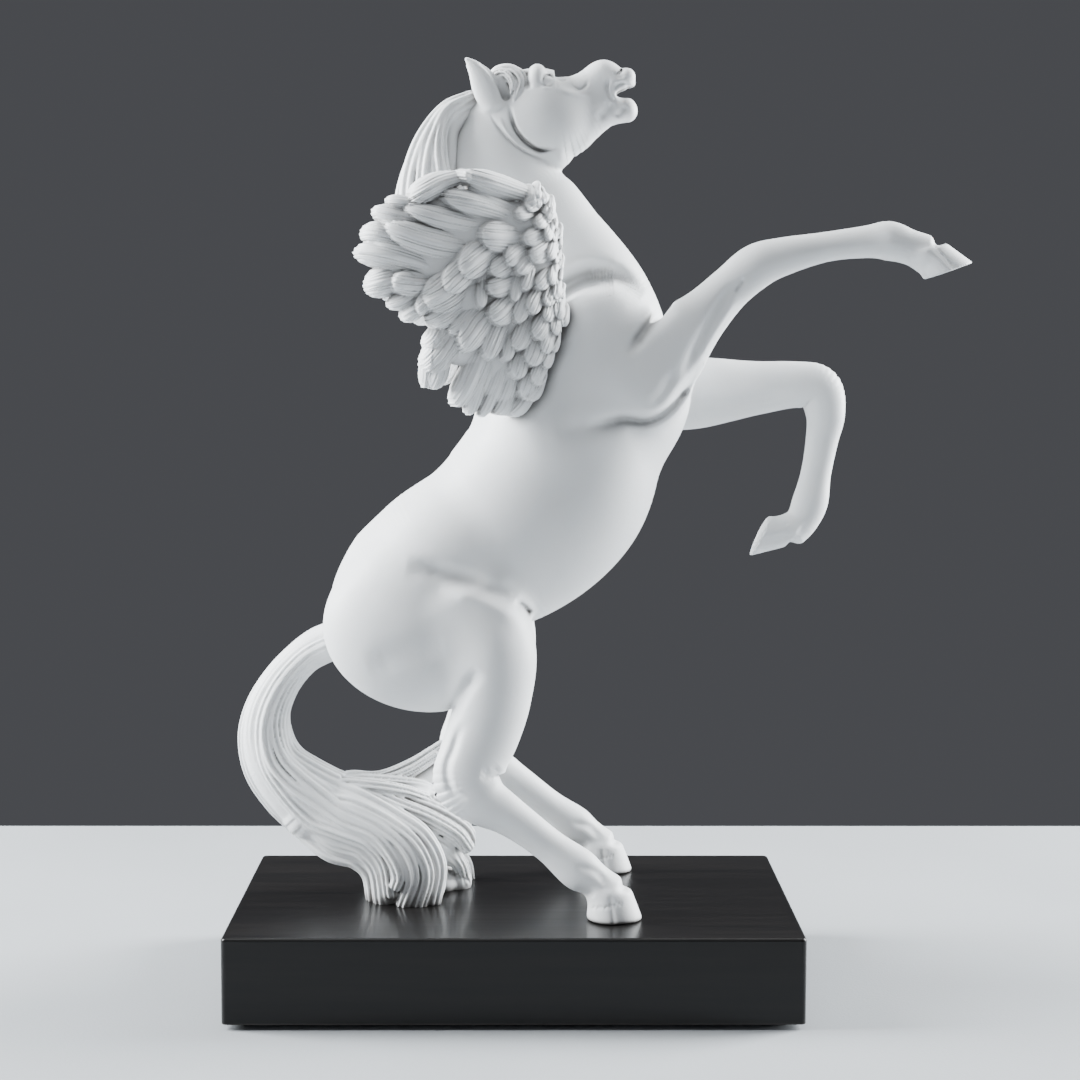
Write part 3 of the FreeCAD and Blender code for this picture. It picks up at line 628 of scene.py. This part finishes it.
# each feather: middle (out from the hinge, height), length, width, droop in degrees, lift
FEATHERS = [
    # long feathers of the upper edge and the tip
    (24.5, 287.1, 27, 8.5, -14, 1.0), (25, 282.9, 22, 4.5, -16, 0.2), (31.7, 280, 27, 8.5, -13, 0.9),
    (47.3, 285.6, 20, 8.5, 21, 0.8), (44.2, 276.2, 30, 7.5, -11, 0.6), (50, 269.2, 34, 10, -11, 0.7),
    (63.6, 261.7, 27, 10, -12, 0.8), (68.4, 269.8, 12, 9, -10, 0.9), (63, 277, 14, 8, -8, 0.6),
    (60.4, 281.3, 9, 5, -4, 0.7), (67.2, 253.6, 12.4, 11, 8, 0.2), (58.4, 253.6, 13, 8.5, -5, 1.2),
    (60.2, 248.8, 11, 6.5, 28, 0.2), (56, 244.6, 9.4, 7.5, 35, 0.3), (51.4, 247, 10, 7.5, 30, 0.9),
    (45.6, 243.6, 12, 9, 30, 0.6), (44.4, 252.4, 20, 14, 32, 0.5), (40.4, 255.8, 14, 10, 36, 1.3),
    (34.4, 261, 14, 11.5, 32, 1.2), (24.2, 270.2, 17, 11, 2, 0.8),
    # long feathers hanging from the lower edge
    (44.8, 232.6, 20, 11.5, 52, 0.3), (49.4, 227, 17, 5, 86, 0.0), (45.8, 224, 12, 8.5, 74, 0.6),
    (48.4, 236, 9, 7, 55, 0.6), (33.8, 222.8, 23, 9.5, 66, 0.9), (29.6, 219.6, 21.5, 7, 72, 0.6),
    (25.3, 218.6, 21, 6, 74, 0.5), (21, 218, 18, 5.5, 76, 0.5), (35, 237, 13, 10.5, 46, 1.4),
    (27, 234.2, 12.5, 8, 60, 1.0), (39, 241, 12, 6, 40, 0.4),
    # coverts
    (16.6, 278, 7, 5.4, 16, 1.0), (12.4, 281, 8, 6, 24, 1.2), (9.8, 275.3, 7, 5.4, 28, 1.4),
    (6.8, 278.4, 6, 4.4, 60, 1.6), (13.6, 269.8, 8.5, 6.4, 20, 1.2), (7.4, 271.4, 6, 4.8, 48, 1.8),
    (11.8, 264.3, 8.4, 7, 30, 1.6), (7, 265.2, 6, 5, 62, 1.9), (17, 260.3, 8, 6.6, 42, 1.3),
    (20.6, 263, 8, 7, 30, 1.5), (25.2, 260, 9.4, 7.6, 30, 0.9), (26, 253.2, 9, 7.4, 18, 1.3),
    (31.6, 250.2, 9, 4.6, 78, 1.0), (19.6, 252.2, 9, 4.8, 70, 1.1), (16.4, 255, 7, 5, 66, 1.6),
    (10.4, 255.2, 7.4, 6, 44, 1.7), (6.2, 256.6, 6, 5, 60, 2.0), (4.4, 251.6, 6, 5, 66, 1.9),
    (25.4, 244.8, 10, 9.4, 40, 1.2), (17.6, 245.6, 10.4, 6.4, 62, 1.2), (13.4, 247.2, 7.4, 6.6, 56, 1.8),
    (8, 249.4, 6.2, 5.6, 60, 1.9), (8, 244.2, 6.6, 6, 60, 1.8), (3.2, 245, 6.4, 6, 66, 2.0),
    (4.4, 240, 7, 6.4, 66, 1.9), (0.6, 242.4, 6, 5.4, 60, 1.7), (10.8, 239.4, 9.4, 8, 54, 1.6),
    (7.6, 234.4, 9, 7, 58, 1.7), (12.6, 230.6, 9.4, 8.4, 62, 1.6), (18, 236.2, 10, 7.4, 62, 1.3),
    (22, 231.6, 7.4, 5, 72, 1.4), (17.6, 225.8, 8, 7.4, 70, 1.3), (7.2, 228.4, 6.6, 6, 60, 1.8),
    (4.6, 233.6, 6, 5, 60, 1.6), (10, 223.2, 8, 7.4, 60, 1.6), (13, 219, 9.4, 8, 68, 1.3),
    (14.6, 213.2, 10.6, 6.6, 58, 0.9), (10.6, 217.4, 7.6, 6.4, 56, 1.2), (19.6, 212.6, 8, 6, 62, 0.8),
]
FAR_OFF = 9.0    # mm, past anything on the wing
# ovals of solid wing behind the feathers: middle (out, height), half size (out, height)
WING_PADS = [(40, 268, 32, 15), (18, 263, 15, 19), (21, 236, 17, 23), (37, 241, 13, 15)]
LEADING_EDGE = [(10, 285), (5.6, 281), (3, 275), (1.4, 268), (1.6, 261), (1.4, 254), (0.4, 248)]


def scales():
    """Two rows of small scales along the wing's leading edge."""
    rows = []
    for row in range(2):
        line = curve([(x, z, 0) for x, z in LEADING_EDGE], 3.0)
        for i, (out, height, _) in enumerate(line):
            wobble = math.sin(2.1 * i + row)
            rows.append((out + 0.8 + 2.2 * row + 0.4 * wobble, height - 1.4 * row, 4.4, 3.2,
                         66 + 14 * wobble, 0.9 + 0.4 * row))
    return rows


def wing_bend(out):
    """How far the wing curves back towards the body, by its distance out from the hinge."""
    return -0.0052 * np.maximum(out - BEND_START, 0) ** 2 - 0.022 * np.maximum(12 - out, 0) ** 2


def feather_top(number, feather, out, height):
    """One feather, laid on the wing's plane: the places it covers, its height and its outline."""
    x, z, length, width, droop, lift = feather
    along_x, along_z = math.cos(math.radians(droop)), -math.sin(math.radians(droop))
    buried = 0.12 * length if length > 14 else 0.4 * length
    root_x = x - along_x * (length / 2 + buried)
    root_z = z - along_z * (length / 2 + buried)
    length = length + buried
    # t runs from the root (0) to the tip (1), and s across the feather in mm
    t = ((out - root_x) * along_x + (height - root_z) * along_z) / length
    curl = 0.05 * length * math.sin(1.7 * number)
    s = (out - root_x) * -along_z + (height - root_z) * along_x + curl * (4 * t * (1 - t))
    near = (t > -0.25) & (t < 1.15) & (np.abs(s) < width * 0.75)
    t, s = t[near], s[near]
    half = width / 2 * np.clip(0.72 + 0.55 * t, 0.5, 1.0)
    tip = np.maximum(t - 0.62, 0) / 0.38
    heel = np.maximum(0.12 - t, 0) / 0.24
    ripple = 0.02 * np.sin(s * 4.2 + number) + 0.015 * np.sin(s * 9 + 2 * number)
    reach = np.sqrt((s / half) ** 2 + np.maximum(tip + ripple * (tip > 0), heel) ** 2)
    gap = (reach - 1) * half

    # the barbs fan out from the vane
    strands = max(3, round(width / 1.05))
    fan = s / half * (0.85 + 0.35 * t)
    phase = strands * math.pi * fan + 0.7 * np.sin(5 * t + number) - np.sign(s) * 2.2 * t
    uneven = 0.65 + 0.35 * np.sin(1.3 * strands * fan + 2.4 * number + 2 * t)
    barbs = (0.5 + 0.5 * np.cos(phase)) ** 2 * uneven
    vane = np.exp(-(s / (0.07 * width)) ** 2) * (width > 9)

    crown = 1.0 + 0.12 * width
    slope = (2.1 + 0.34 * width) * (np.clip(t, 0, 1) - 0.25)
    puff = crown * (np.sqrt(np.clip(1 - 0.97 * reach ** 2, 0, 1)) - 1)
    cut = (0.18 + 0.022 * width) * barbs * (1 - vane)
    top = lift + slope + puff - cut + 0.2 * vane - 4 * np.maximum(gap, 0)
    return near, np.where(gap < 0.8, top, -FAR_OFF), gap


def wing_faces(out, height):
    """Height of the wing's outer and inner skins over its plane, and distance from its outline."""
    edge = np.full(out.shape, FAR_OFF)
    relief = np.full(out.shape, -FAR_OFF)
    for number, feather in enumerate(FEATHERS + scales()):
        near, top, gap = feather_top(number, feather, out, height)
        relief[near] = np.maximum(relief[near], top)
        edge[near] = np.minimum(edge[near], gap)
    for x, z, half_x, half_z in WING_PADS:
        gap = oval_distance(out - x, height - z, 0 * out, half_x, half_z, 1)
        edge = np.minimum(edge, gap)
        relief = np.maximum(relief, np.where(gap < 0, 0.2 + 0.6 * np.exp(-(out / 22) ** 2), -FAR_OFF))
    # thicker towards the shoulder, cambered from top to bottom, rolled over at the rim
    rise = np.exp(-(np.maximum(out, 0) / 24) ** 2)
    camber = 3.4 * (1 - ((height - 254) / 42) ** 2) - 0.0035 * np.maximum(242 - height, 0) ** 2
    rim = np.exp(np.minimum(edge, 0) / 2.2)
    outer = camber + 1.4 + 2.2 * rise + relief - 2.4 * rim
    # the inner skin reaches in to the flank below the withers
    root = np.exp(-(np.maximum(out, 0) / 11) ** 2) * np.clip((262 - height) / 20, 0, 1)
    inner = camber - 1.3 - 0.7 * relief - 7 * root - 1.2 * rise
    return outer, inner, edge


def right_wing():
    """The right wing, from a grid in its own plane: out, height and thickness."""
    step = 0.22
    out = np.arange(*WING_REACH[0], step)
    height = np.arange(*WING_REACH[1], step)
    thick = np.arange(-16, 13, step)
    plane_out, plane_height = np.meshgrid(out, height, indexing="ij")
    outer, inner, edge = wing_faces(plane_out, plane_height)
    slope = np.sqrt(1 + np.minimum(sum(g ** 2 for g in np.gradient(outer, step)), 6))
    limit = Clay.band * step
    face = np.maximum((thick - outer[..., None]) / slope[..., None],
                      (inner[..., None] - thick) / slope[..., None])
    solid = np.clip(np.maximum(face, edge[..., None]), -limit, limit).astype(np.float32)
    volume = openvdb.FloatGrid(limit)
    volume.copyFromArray(solid)
    points, quads = volume.convertToQuads(0.0)
    points = points * step + (out[0], height[0], thick[0])
    flare = math.radians(WING_FLARE)
    away, level, normal = points.T
    bend = wing_bend(away)
    normal = normal + bend
    # drawn in by the bend's slant, so that the outline from the side stays as drawn
    away = away + math.tan(flare) * np.where(away > BEND_START, bend, 0)
    placed = np.stack([WING_HINGE[0] - away * math.cos(flare) + normal * math.sin(flare),
                       WING_HINGE[1] - away * math.sin(flare) - normal * math.cos(flare), level], 1)
    return make_piece("right_wing", *largest_shell(placed, quads))


wing = right_wing()
castings += [wing, mirrored(wing, "left_wing")]

# ---------------------------------------------------------------- tail and mane

# the tail's run: middle (x, z), half its depth in the side view, half its thickness in Y
TAIL_RUN = [
    (-64, 127, 6.5, 6.5), (-71.5, 124, 6.3, 6), (-78, 119.5, 5.8, 5.6), (-85, 111.5, 6.3, 5.8),
    (-90, 101.5, 7.4, 6.4), (-91.2, 91.5, 8.8, 7.2), (-88.4, 81.4, 10.2, 8.8), (-81.6, 73, 12, 10.6),
    (-71.4, 64.6, 14.2, 12.6),
]
# each strand: lane across the run (-1 outer, 1 inner), lane in Y, tip's thickness, then its end
STRANDS = [
    # the near front lobe
    (-0.95, -0.1, 6.5, [(-67, -5, 50), (-57.5, -8, 47.5), (-52, -9, 42), (-50.5, -9, 32)]),
    (-0.5, -0.6, 6.5, [(-66, -8, 55), (-55.5, -12, 52), (-49.4, -13, 45), (-47.6, -13, 32)]),
    (-0.12, -0.9, 6.0, [(-64, -12, 59), (-52.5, -15, 55), (-46.4, -16, 48), (-44.5, -15.5, 36)]),
    # the curl between the two front lobes
    (0.2, -1.0, 4.6,
     [(-61, -13.5, 61.5), (-50, -16, 57), (-44, -18, 50), (-41.5, -19, 43.5), (-42.6, -18.8, 39.4)]),
    # the broad middle lobe that curls under at its foot
    (0.48, -0.95, 6.0,
     [(-60, -12, 64.6), (-49, -14.5, 60), (-40, -17, 53), (-36.4, -18, 43), (-39.5, -17, 32)]),
    (0.68, -0.85, 6.0,
     [(-58, -11, 67), (-46, -13.5, 61.5), (-36.5, -16, 54.5), (-31.8, -17, 44), (-34.5, -17, 32)]),
    (0.82, -0.7, 5.6,
     [(-56, -9.5, 69.5), (-44, -11.5, 63.5), (-33.5, -14, 57), (-27.8, -14.5, 46), (-29.5, -15, 33)]),
    (0.4, -0.5, 6.0,
     [(-56, -9, 63), (-43, -11.5, 58), (-33, -12.5, 50), (-28.4, -12, 40), (-30, -12, 33)]),
    # the third lobe, held clear of the board
    (0.9, -0.55, 5.0,
     [(-55, -7, 71), (-42, -8, 66), (-31, -7, 61.5), (-21.5, -5, 55.5), (-17.2, -4, 50)]),
    (0.92, -0.3, 5.0,
     [(-53, -2, 71.5), (-39, -3, 67), (-28, -2, 62.6), (-19, -0.5, 56.6), (-15.6, 0, 51)]),
    (0.85, 0.2, 5.0, [(-50, 3, 71), (-37, 4, 67), (-26, 5, 62), (-18, 6, 56)]),
    (0.6, -0.2, 5.0, [(-50, -5, 63), (-37, -6, 58), (-27, -3, 51), (-21, 3, 43), (-19, 8, 36)]),
    # the pointed lobe above it
    (0.96, -0.6, 3.8, [(-59, -6.8, 73.8), (-48, -7.5, 73), (-39, -5, 71), (-32.5, -1, 68)]),
    (0.96, -0.3, 3.8, [(-56, -2, 74), (-44, 1, 73), (-36, 3, 71.6), (-30.5, 5, 69.5)]),
    # the upper band that passes behind the right hock
    (0.93, -0.2, 3.6, [(-58, -1, 73.4), (-49, 2, 73), (-39, 6, 76), (-29, 11, 81.5)]),
    (0.93, 0.2, 3.6, [(-58, 4, 74), (-49, 7, 74), (-38, 10, 78.4), (-27, 14, 85)]),
    (0.9, 0.5, 3.6, [(-60, 8, 73.5), (-48, 12, 72), (-36, 15, 74), (-27, 18, 78)]),
    (0.65, 0.8, 4.0, [(-54, 12, 69), (-45, 15, 67), (-36, 18, 67), (-28, 20, 70)]),
    # the far side
    (-0.85, 0.5, 5.5, [(-65, 8, 51), (-56, 11, 45), (-51, 12, 32)]),
    (-0.6, 0.8, 6.5, [(-62, 11, 53), (-52, 14.5, 47), (-44.5, 16.5, 40), (-42, 17, 32)]),
    (-0.1, 0.95, 6.5,
     [(-57, 14, 59), (-45, 17.5, 53), (-34, 20, 46), (-26, 21.5, 38), (-24.5, 21.5, 32)]),
    (-0.4, 0.9, 6.5, [(-60, 13, 55), (-48, 18, 49), (-38, 20.5, 42), (-31, 21, 32.5)]),
    (0.1, 0.9, 5.5, [(-54, 14, 62), (-42, 18, 56), (-29, 20, 48), (-20, 21.7, 39), (-18, 21.7, 32)]),
]
# cores that fill each lobe behind its strands, carried on from the end of the run
LOBES = [
    [(-60, -4, 58, 24, 22), (-50, -10, 52, 17, 14), (-46, -12, 44, 10, 10), (-46, -12, 35, 9, 9)],
    [(-56, -5, 62, 20, 20), (-42, -12, 57, 13, 12), (-33, -14, 47, 9, 9), (-33, -14, 38, 9, 8)],
    [(-56, 0, 63, 18, 22), (-40, 0, 62.5, 12, 18), (-27, 1, 57, 8, 12), (-21, 1, 52, 5, 8)],
    [(-60, 5, 65.5, 14, 20), (-47, 8, 68, 9, 14), (-37, 12, 71.5, 8, 10), (-29, 15, 76, 7, 7)],
    [(-60, 6, 57, 22, 20), (-48, 13, 51, 17, 12), (-38, 16.5, 43, 15, 10), (-33, 17.5, 36, 14, 10)],
]

tail = Clay()


def model_tail():
    """A smooth dock that breaks into long wavy strands and fans out onto the plinth."""
    run = curve([(x, 0, z, deep, wide) for x, z, deep, wide in TAIL_RUN], 6.0)
    count = len(run)
    slope = np.gradient(run[:, :3], axis=0)
    slope /= np.linalg.norm(slope, axis=1, keepdims=True)
    inward = np.stack([-slope[:, 2], 0 * slope[:, 2], slope[:, 0]], 1)
    core = [(x, 0, z, 2 * deep * 0.86, 2 * wide * 0.86) for x, _, z, deep, wide in run]
    for lobe in LOBES:
        tail.add(Tube(core + lobe, caps=(0.3, 0.5)), blend=2)
    for number, (lane, depth_lane, tip, ends) in enumerate(STRANDS):
        rows = []
        for i in range(0, count, 2):
            x, _, z, deep, wide = run[i]
            part = i / (count - 1)
            sway = 0.10 * math.sin(2.2 * number + 6.5 * part) * part
            place = np.array((x, 0, z)) + inward[i] * deep * (lane * 0.74 + sway)
            side = wide * depth_lane * math.sqrt(max(0.1, 1 - (0.7 * lane) ** 2)) * 0.85
            thick = 0.30 * deep + 2.4 + 1.4 * part
            rows.append((place[0], side, place[2], thick * 1.15, thick))
        for j, (x, y, z) in enumerate(ends):
            left = 1 - (j + 1) / len(ends)
            rows.append((x, y, z, 1.1 * tip + 3.4 * left, tip + 2.6 * left))
        turns = 0.5 if number % 2 else -0.4
        tail.add(Tube(rows, caps=(0.4, 0.35), grooves=(8 + number % 3, 0.9, turns), step=0.9),
                 blend=0.7)
    # the small rough mass on the board under the third lobe, and fillers between the lobes
    tail.add(Ball((-27, 8, 35), (6, 7, 5.4)), blend=2)
    for middle, radii in (((-40, 4, 48), (14, 13, 14)), ((-27, 3, 50), (8, 9, 8)),
                          ((-38, 4, 69.5), (8, 6, 4)), ((-58, -1, 71), (9, 9, 5))):
        tail.add(Ball(middle, radii), blend=2)
    tail.add(Ball((-21, 10, 34), (5, 5, 5), lean=15), blend=2)
    for x, y, z in ((-18, 6, 36), (-21, 5, 37.5), (-24.5, 3, 38)):
        tail.stroke([(x - 1.5, y, z + 1), (x, y - 0.5, z), (x + 1, y, z - 1.5)], 0.9, -0.8)


model_tail()
foot = PLINTH_TOP + 0.05
tail_piece = make_piece("tail", *largest_shell(*tail.mesh((-106, -30, 28), (-6, 32, 140), 0.42)))
trim(tail_piece, [((TAIL_JOINT, 0, 0), (1, 0, 0)), ((0, 0, foot), (0, 0, -1))])
castings.append(tail_piece)

# each lock on the right side: where it leaves the crest, and where it goes (x, y, z) with its width
LOCKS = [
    [(-13, -1, 320, 6), (-22, -2.5, 315.8, 7.5), (-29.4, -3, 307, 8), (-35.4, -3, 295.5, 8),
     (-38.8, -3, 284, 7.5), (-40, -3, 271, 6.5), (-35, -4, 259, 3)],
    [(-15, -3, 321, 4), (-24, -4.5, 316, 6), (-31, -6.5, 306, 7.5), (-35.3, -8, 294, 8),
     (-36.6, -9, 282, 8), (-36, -10, 270, 6.5), (-31, -12, 258, 3)],
    [(-16, -3, 321, 3.4), (-24, -5.5, 315.5, 5), (-28.5, -8, 306, 6.6), (-30.8, -10, 296, 7),
     (-31.5, -11.5, 285, 7), (-31, -13, 272, 6), (-26, -15, 258, 2.6)],
    [(-18.6, -3.5, 319.6, 2.6), (-24, -6, 314.4, 3.6), (-26.4, -8.6, 308, 4.6), (-27, -10.5, 301, 5.4),
     (-26, -12, 292, 6), (-25, -13.5, 281, 6), (-22, -15.5, 268, 5), (-17, -17, 256, 2.4)],
]

mane = Clay()


def model_mane():
    """Long smooth locks that leave the poll together and sweep down behind the neck."""
    core = [(-14, 0, 318, 6, 7), (-23.5, 0, 310, 11, 12), (-27, 0, 298, 18, 17), (-30, 0, 284, 20, 20),
            (-30, 0, 270, 18, 20), (-26, 0, 256, 12, 16)]
    mane.add(Tube(core, caps=(0.4, 0.4)))
    for number, lock in enumerate(LOCKS):
        for side in (1, -1):
            rows = [(x, side * y, z, width * 1.2, width) for x, y, z, width in lock]
            turns = side * (0.35 + 0.1 * number)
            mane.add(Tube(rows, caps=(0.4, 0.5), grooves=(8, 0.75, turns), step=0.9), blend=0.8)


model_mane()
mane_piece = make_piece("mane", *largest_shell(*mane.mesh((-52, -24, 244), (-4, 24, 328), 0.36)))
castings.append(mane_piece)

# ---------------------------------------------------------------- materials


class Recipe:
    """A node material being built."""

    def __init__(self, name):
        self.material = bpy.data.materials.new(name)
        self.material.use_nodes = True
        self.nodes = self.material.node_tree.nodes
        self.links = self.material.node_tree.links
        self.shader = self.nodes["Principled BSDF"]
        self.place = self.node("ShaderNodeTexCoord").outputs["Object"]

    def node(self, kind, **settings):
        """A node; settings name its own properties."""
        made = self.nodes.new(kind)
        for key, value in settings.items():
            setattr(made, key, value)
        return made

    def set(self, **values):
        """Constant values on the shader's own sockets."""
        for key, value in values.items():
            self.shader.inputs[key.replace("_", " ")].default_value = value

    def stretched(self, x, y, z):
        """The object's coordinates, scaled along each axis."""
        scale = self.node("ShaderNodeMapping")
        scale.inputs["Scale"].default_value = (x, y, z)
        self.links.new(self.place, scale.inputs["Vector"])
        return scale.outputs["Vector"]

    def noise(self, scale, detail=4.0, roughness=0.55, place=None):
        """Soft noise, with features about 1 / scale metres across."""
        made = self.node("ShaderNodeTexNoise")
        made.inputs["Scale"].default_value = scale
        made.inputs["Detail"].default_value = detail
        made.inputs["Roughness"].default_value = roughness
        self.links.new(place or self.place, made.inputs["Vector"])
        return made.outputs["Fac"]

    def spread(self, value, from_low, from_high, to_low, to_high):
        """A number moved from one range to another."""
        made = self.node("ShaderNodeMapRange")
        for socket, number in (("From Min", from_low), ("From Max", from_high),
                               ("To Min", to_low), ("To Max", to_high)):
            made.inputs[socket].default_value = number
        self.links.new(value, made.inputs["Value"])
        return made.outputs["Result"]

    def blend(self, amount, first, second):
        """Two colours or colour outputs mixed by an amount."""
        made = self.node("ShaderNodeMix", data_type="RGBA")
        for index, source in ((0, amount), (6, first), (7, second)):
            if isinstance(source, bpy.types.NodeSocket):
                self.links.new(source, made.inputs[index])
            else:
                made.inputs[index].default_value = source
        return made.outputs[2]

    def bump(self, *layers):
        """Bump from (height output, depth in metres) layers."""
        normal = None
        for height, depth in layers:
            made = self.node("ShaderNodeBump")
            made.inputs["Distance"].default_value = depth
            self.links.new(height, made.inputs["Height"])
            if normal:
                self.links.new(normal, made.inputs["Normal"])
            normal = made.outputs["Normal"]
        self.links.new(normal, self.shader.inputs["Normal"])

    def colour(self, output):
        """A node's output as the surface colour."""
        self.links.new(output, self.shader.inputs["Base Color"])

    def roughness(self, output):
        """A node's output as the roughness."""
        self.links.new(output, self.shader.inputs["Roughness"])


def cast_marble(name, reach, limit):
    """White marble composite: faint clouding, satin skin, and painted shade, a warm grey darkening of
    the hollows.

    The painted shade looks for hollows as far as reach, and starts where their openness is under limit.
    """
    m = Recipe(name)
    clouds = m.spread(m.noise(45, 5), 0.3, 0.7, 0, 1)
    skin = m.blend(clouds, (0.82, 0.835, 0.845, 1), (0.87, 0.878, 0.884, 1))
    # painted shade: ambient occlusion finds the hollows, and the colour is darkened there as if shade
    # fell in them
    hollow = m.node("ShaderNodeAmbientOcclusion", samples=6)
    hollow.inputs["Distance"].default_value = reach
    depth = m.spread(hollow.outputs["AO"], limit - 0.55, limit, 1, 0)
    # the colour itself turns warm grey in the hollows: painted shade
    skin = m.blend(depth, skin, (0.22, 0.212, 0.205, 1))
    m.colour(skin)
    m.roughness(m.spread(m.noise(260, 3), 0.3, 0.7, 0.42, 0.56))
    m.bump((m.noise(1400, 2), 0.00002), (m.noise(160, 3), 0.00006))
    m.set(Specular_IOR_Level=0.42, Subsurface_Weight=0.12, Subsurface_Scale=0.0012,
          Subsurface_Radius=(1.0, 0.9, 0.8))
    return m.material


def stained_wood():
    """Black-stained board: brown-black grain along X under satin lacquer, worn at the edges."""
    m = Recipe("stained_wood")
    grain = m.noise(1, 6, 0.6, m.stretched(14, 260, 260))
    fine = m.noise(1, 3, 0.6, m.stretched(60, 1500, 1500))
    tone = m.blend(m.spread(grain, 0.35, 0.7, 0, 1), (0.0045, 0.0044, 0.0045, 1),
                   (0.0085, 0.0075, 0.0072, 1))
    bevel = m.node("ShaderNodeBevel", samples=6)
    bevel.inputs["Radius"].default_value = 0.0012
    plain = m.node("ShaderNodeNewGeometry")
    meet = m.node("ShaderNodeVectorMath", operation="DOT_PRODUCT")
    m.links.new(bevel.outputs["Normal"], meet.inputs[0])
    m.links.new(plain.outputs["Normal"], meet.inputs[1])
    worn = m.spread(meet.outputs["Value"], 0.97, 0.85, 0, 0.8)
    m.colour(m.blend(worn, tone, (0.055, 0.047, 0.042, 1)))
    m.roughness(m.spread(grain, 0.3, 0.75, 0.34, 0.42))
    m.bump((grain, 0.00002), (fine, 0.00002))
    m.set(Specular_IOR_Level=0.12, Coat_Weight=0.55, Coat_IOR=1.3, Coat_Roughness=0.2)
    return m.material


def dark_felt():
    """Pressed black felt."""
    m = Recipe("dark_felt")
    fibre = m.noise(2500, 4)
    m.colour(m.blend(fibre, (0.012, 0.012, 0.013, 1), (0.035, 0.035, 0.038, 1)))
    m.roughness(m.spread(fibre, 0.3, 0.7, 0.85, 0.98))
    m.bump((fibre, 0.0003))
    m.set(Sheen_Weight=0.3)
    return m.material


def plain_steel():
    """Drawn steel rod, with marks along it."""
    m = Recipe("plain_steel")
    marks = m.noise(1, 4, 0.6, m.stretched(2500, 2500, 120))
    m.colour(m.blend(marks, (0.42, 0.42, 0.43, 1), (0.62, 0.62, 0.63, 1)))
    m.roughness(m.spread(marks, 0.3, 0.7, 0.25, 0.42))
    m.bump((marks, 0.00003))
    m.set(Metallic=1.0)
    return m.material


# the wing's copy paints its shade further and deeper into the hollows between the feathers
MARBLE = cast_marble("cast_marble", 0.005, 0.9)
WING_MARBLE = cast_marble("wing_marble", 0.007, 0.94)
NODE_MATERIALS = {"stained_wood": stained_wood(), "felt": dark_felt(), "steel": plain_steel(),
                  "cast_marble": MARBLE}


def wear(thing, material):
    """Give an object one material."""
    thing.data.materials.clear()
    thing.data.materials.append(material)


for piece in castings:
    wear(piece, WING_MARBLE if "wing" in piece.name else MARBLE)
for subpart in frame["record"]["subparts"]:
    node = bpy.data.objects[subpart["node"]]
    if node.data.materials:
        node.material_slots[0].material = NODE_MATERIALS[subpart["material_slot"]]
    else:
        node.data.materials.append(NODE_MATERIALS[subpart["material_slot"]])

# ---------------------------------------------------------------- floor, light and camera


def tabletop():
    """A pale table whose far edge lies a little behind the statuette."""
    far_edge, near_edge, side = 0.251, -2.2, 2.2
    corners = [(-side, near_edge, 0), (side, near_edge, 0), (side, far_edge, 0), (-side, far_edge, 0),
               (-side, far_edge, -0.04), (side, far_edge, -0.04)]
    mesh = bpy.data.meshes.new("tabletop")
    mesh.from_pydata(corners, [], [(0, 1, 2, 3), (3, 2, 5, 4)])
    table = bpy.data.objects.new("tabletop", mesh)
    bpy.context.scene.collection.objects.link(table)
    m = Recipe("pale_table")
    cloth = m.noise(900, 4)
    m.colour(m.blend(m.spread(m.noise(6, 2), 0.3, 0.7, 0, 1), (0.33, 0.348, 0.366, 1),
                     (0.365, 0.383, 0.402, 1)))
    m.roughness(m.spread(cloth, 0.3, 0.7, 0.6, 0.75))
    m.bump((cloth, 0.00008))
    wear(table, m.material)


COOL_WHITE = (0.955, 0.985, 1.0)
STATUETTE_MIDDLE = (0.02, 0, 0.19)


def softbox(name, place, width, height, power):
    """A rectangular studio light aimed at the statuette's middle."""
    light = bpy.data.lights.new(name, "AREA")
    light.shape = "RECTANGLE"
    light.size, light.size_y = width, height
    light.energy = power
    light.color = COOL_WHITE
    lamp = bpy.data.objects.new(name, light)
    lamp.location = place
    aim = Vector(STATUETTE_MIDDLE) - Vector(place)
    lamp.rotation_euler = aim.to_track_quat("-Z", "Y").to_euler()
    bpy.context.scene.collection.objects.link(lamp)


def studio():
    """Two side softboxes a little behind the horse, weak fills in front and above, a grey room."""
    softbox("left_box", (-0.95, 0.05, 0.6), 0.45, 0.75, 56)
    softbox("right_box", (1.0, 0.32, 0.5), 0.5, 0.8, 60)
    softbox("front_fill", (-0.15, -1.5, 0.8), 0.9, 0.8, 3)
    softbox("top_fill", (0.0, 0.05, 1.15), 0.9, 0.7, 8)
    world = bpy.data.worlds.new("grey_room")
    world.use_nodes = True
    world.node_tree.nodes["Background"].inputs["Color"].default_value = (0.073, 0.075, 0.083, 1)
    bpy.context.scene.world = world


def camera():
    """A short telephoto look along +Y and a little down, from the height of the shoulder."""
    lens = bpy.data.cameras.new("camera")
    lens.lens = 70.72
    lens.sensor_width = 36
    eye = bpy.data.objects.new("camera", lens)
    down, turned, tilt = math.radians(5.18), math.radians(0.479), math.radians(0.116)
    eye.matrix_world = (Matrix.Translation((0.00265, -0.7666, 0.2323))
                        @ Matrix.Rotation(-turned, 4, "Z")
                        @ Matrix.Rotation(math.pi / 2 - down, 4, "X")
                        @ Matrix.Rotation(tilt, 4, "Z"))
    bpy.context.scene.collection.objects.link(eye)
    bpy.context.scene.camera = eye


tabletop()
studio()
camera()
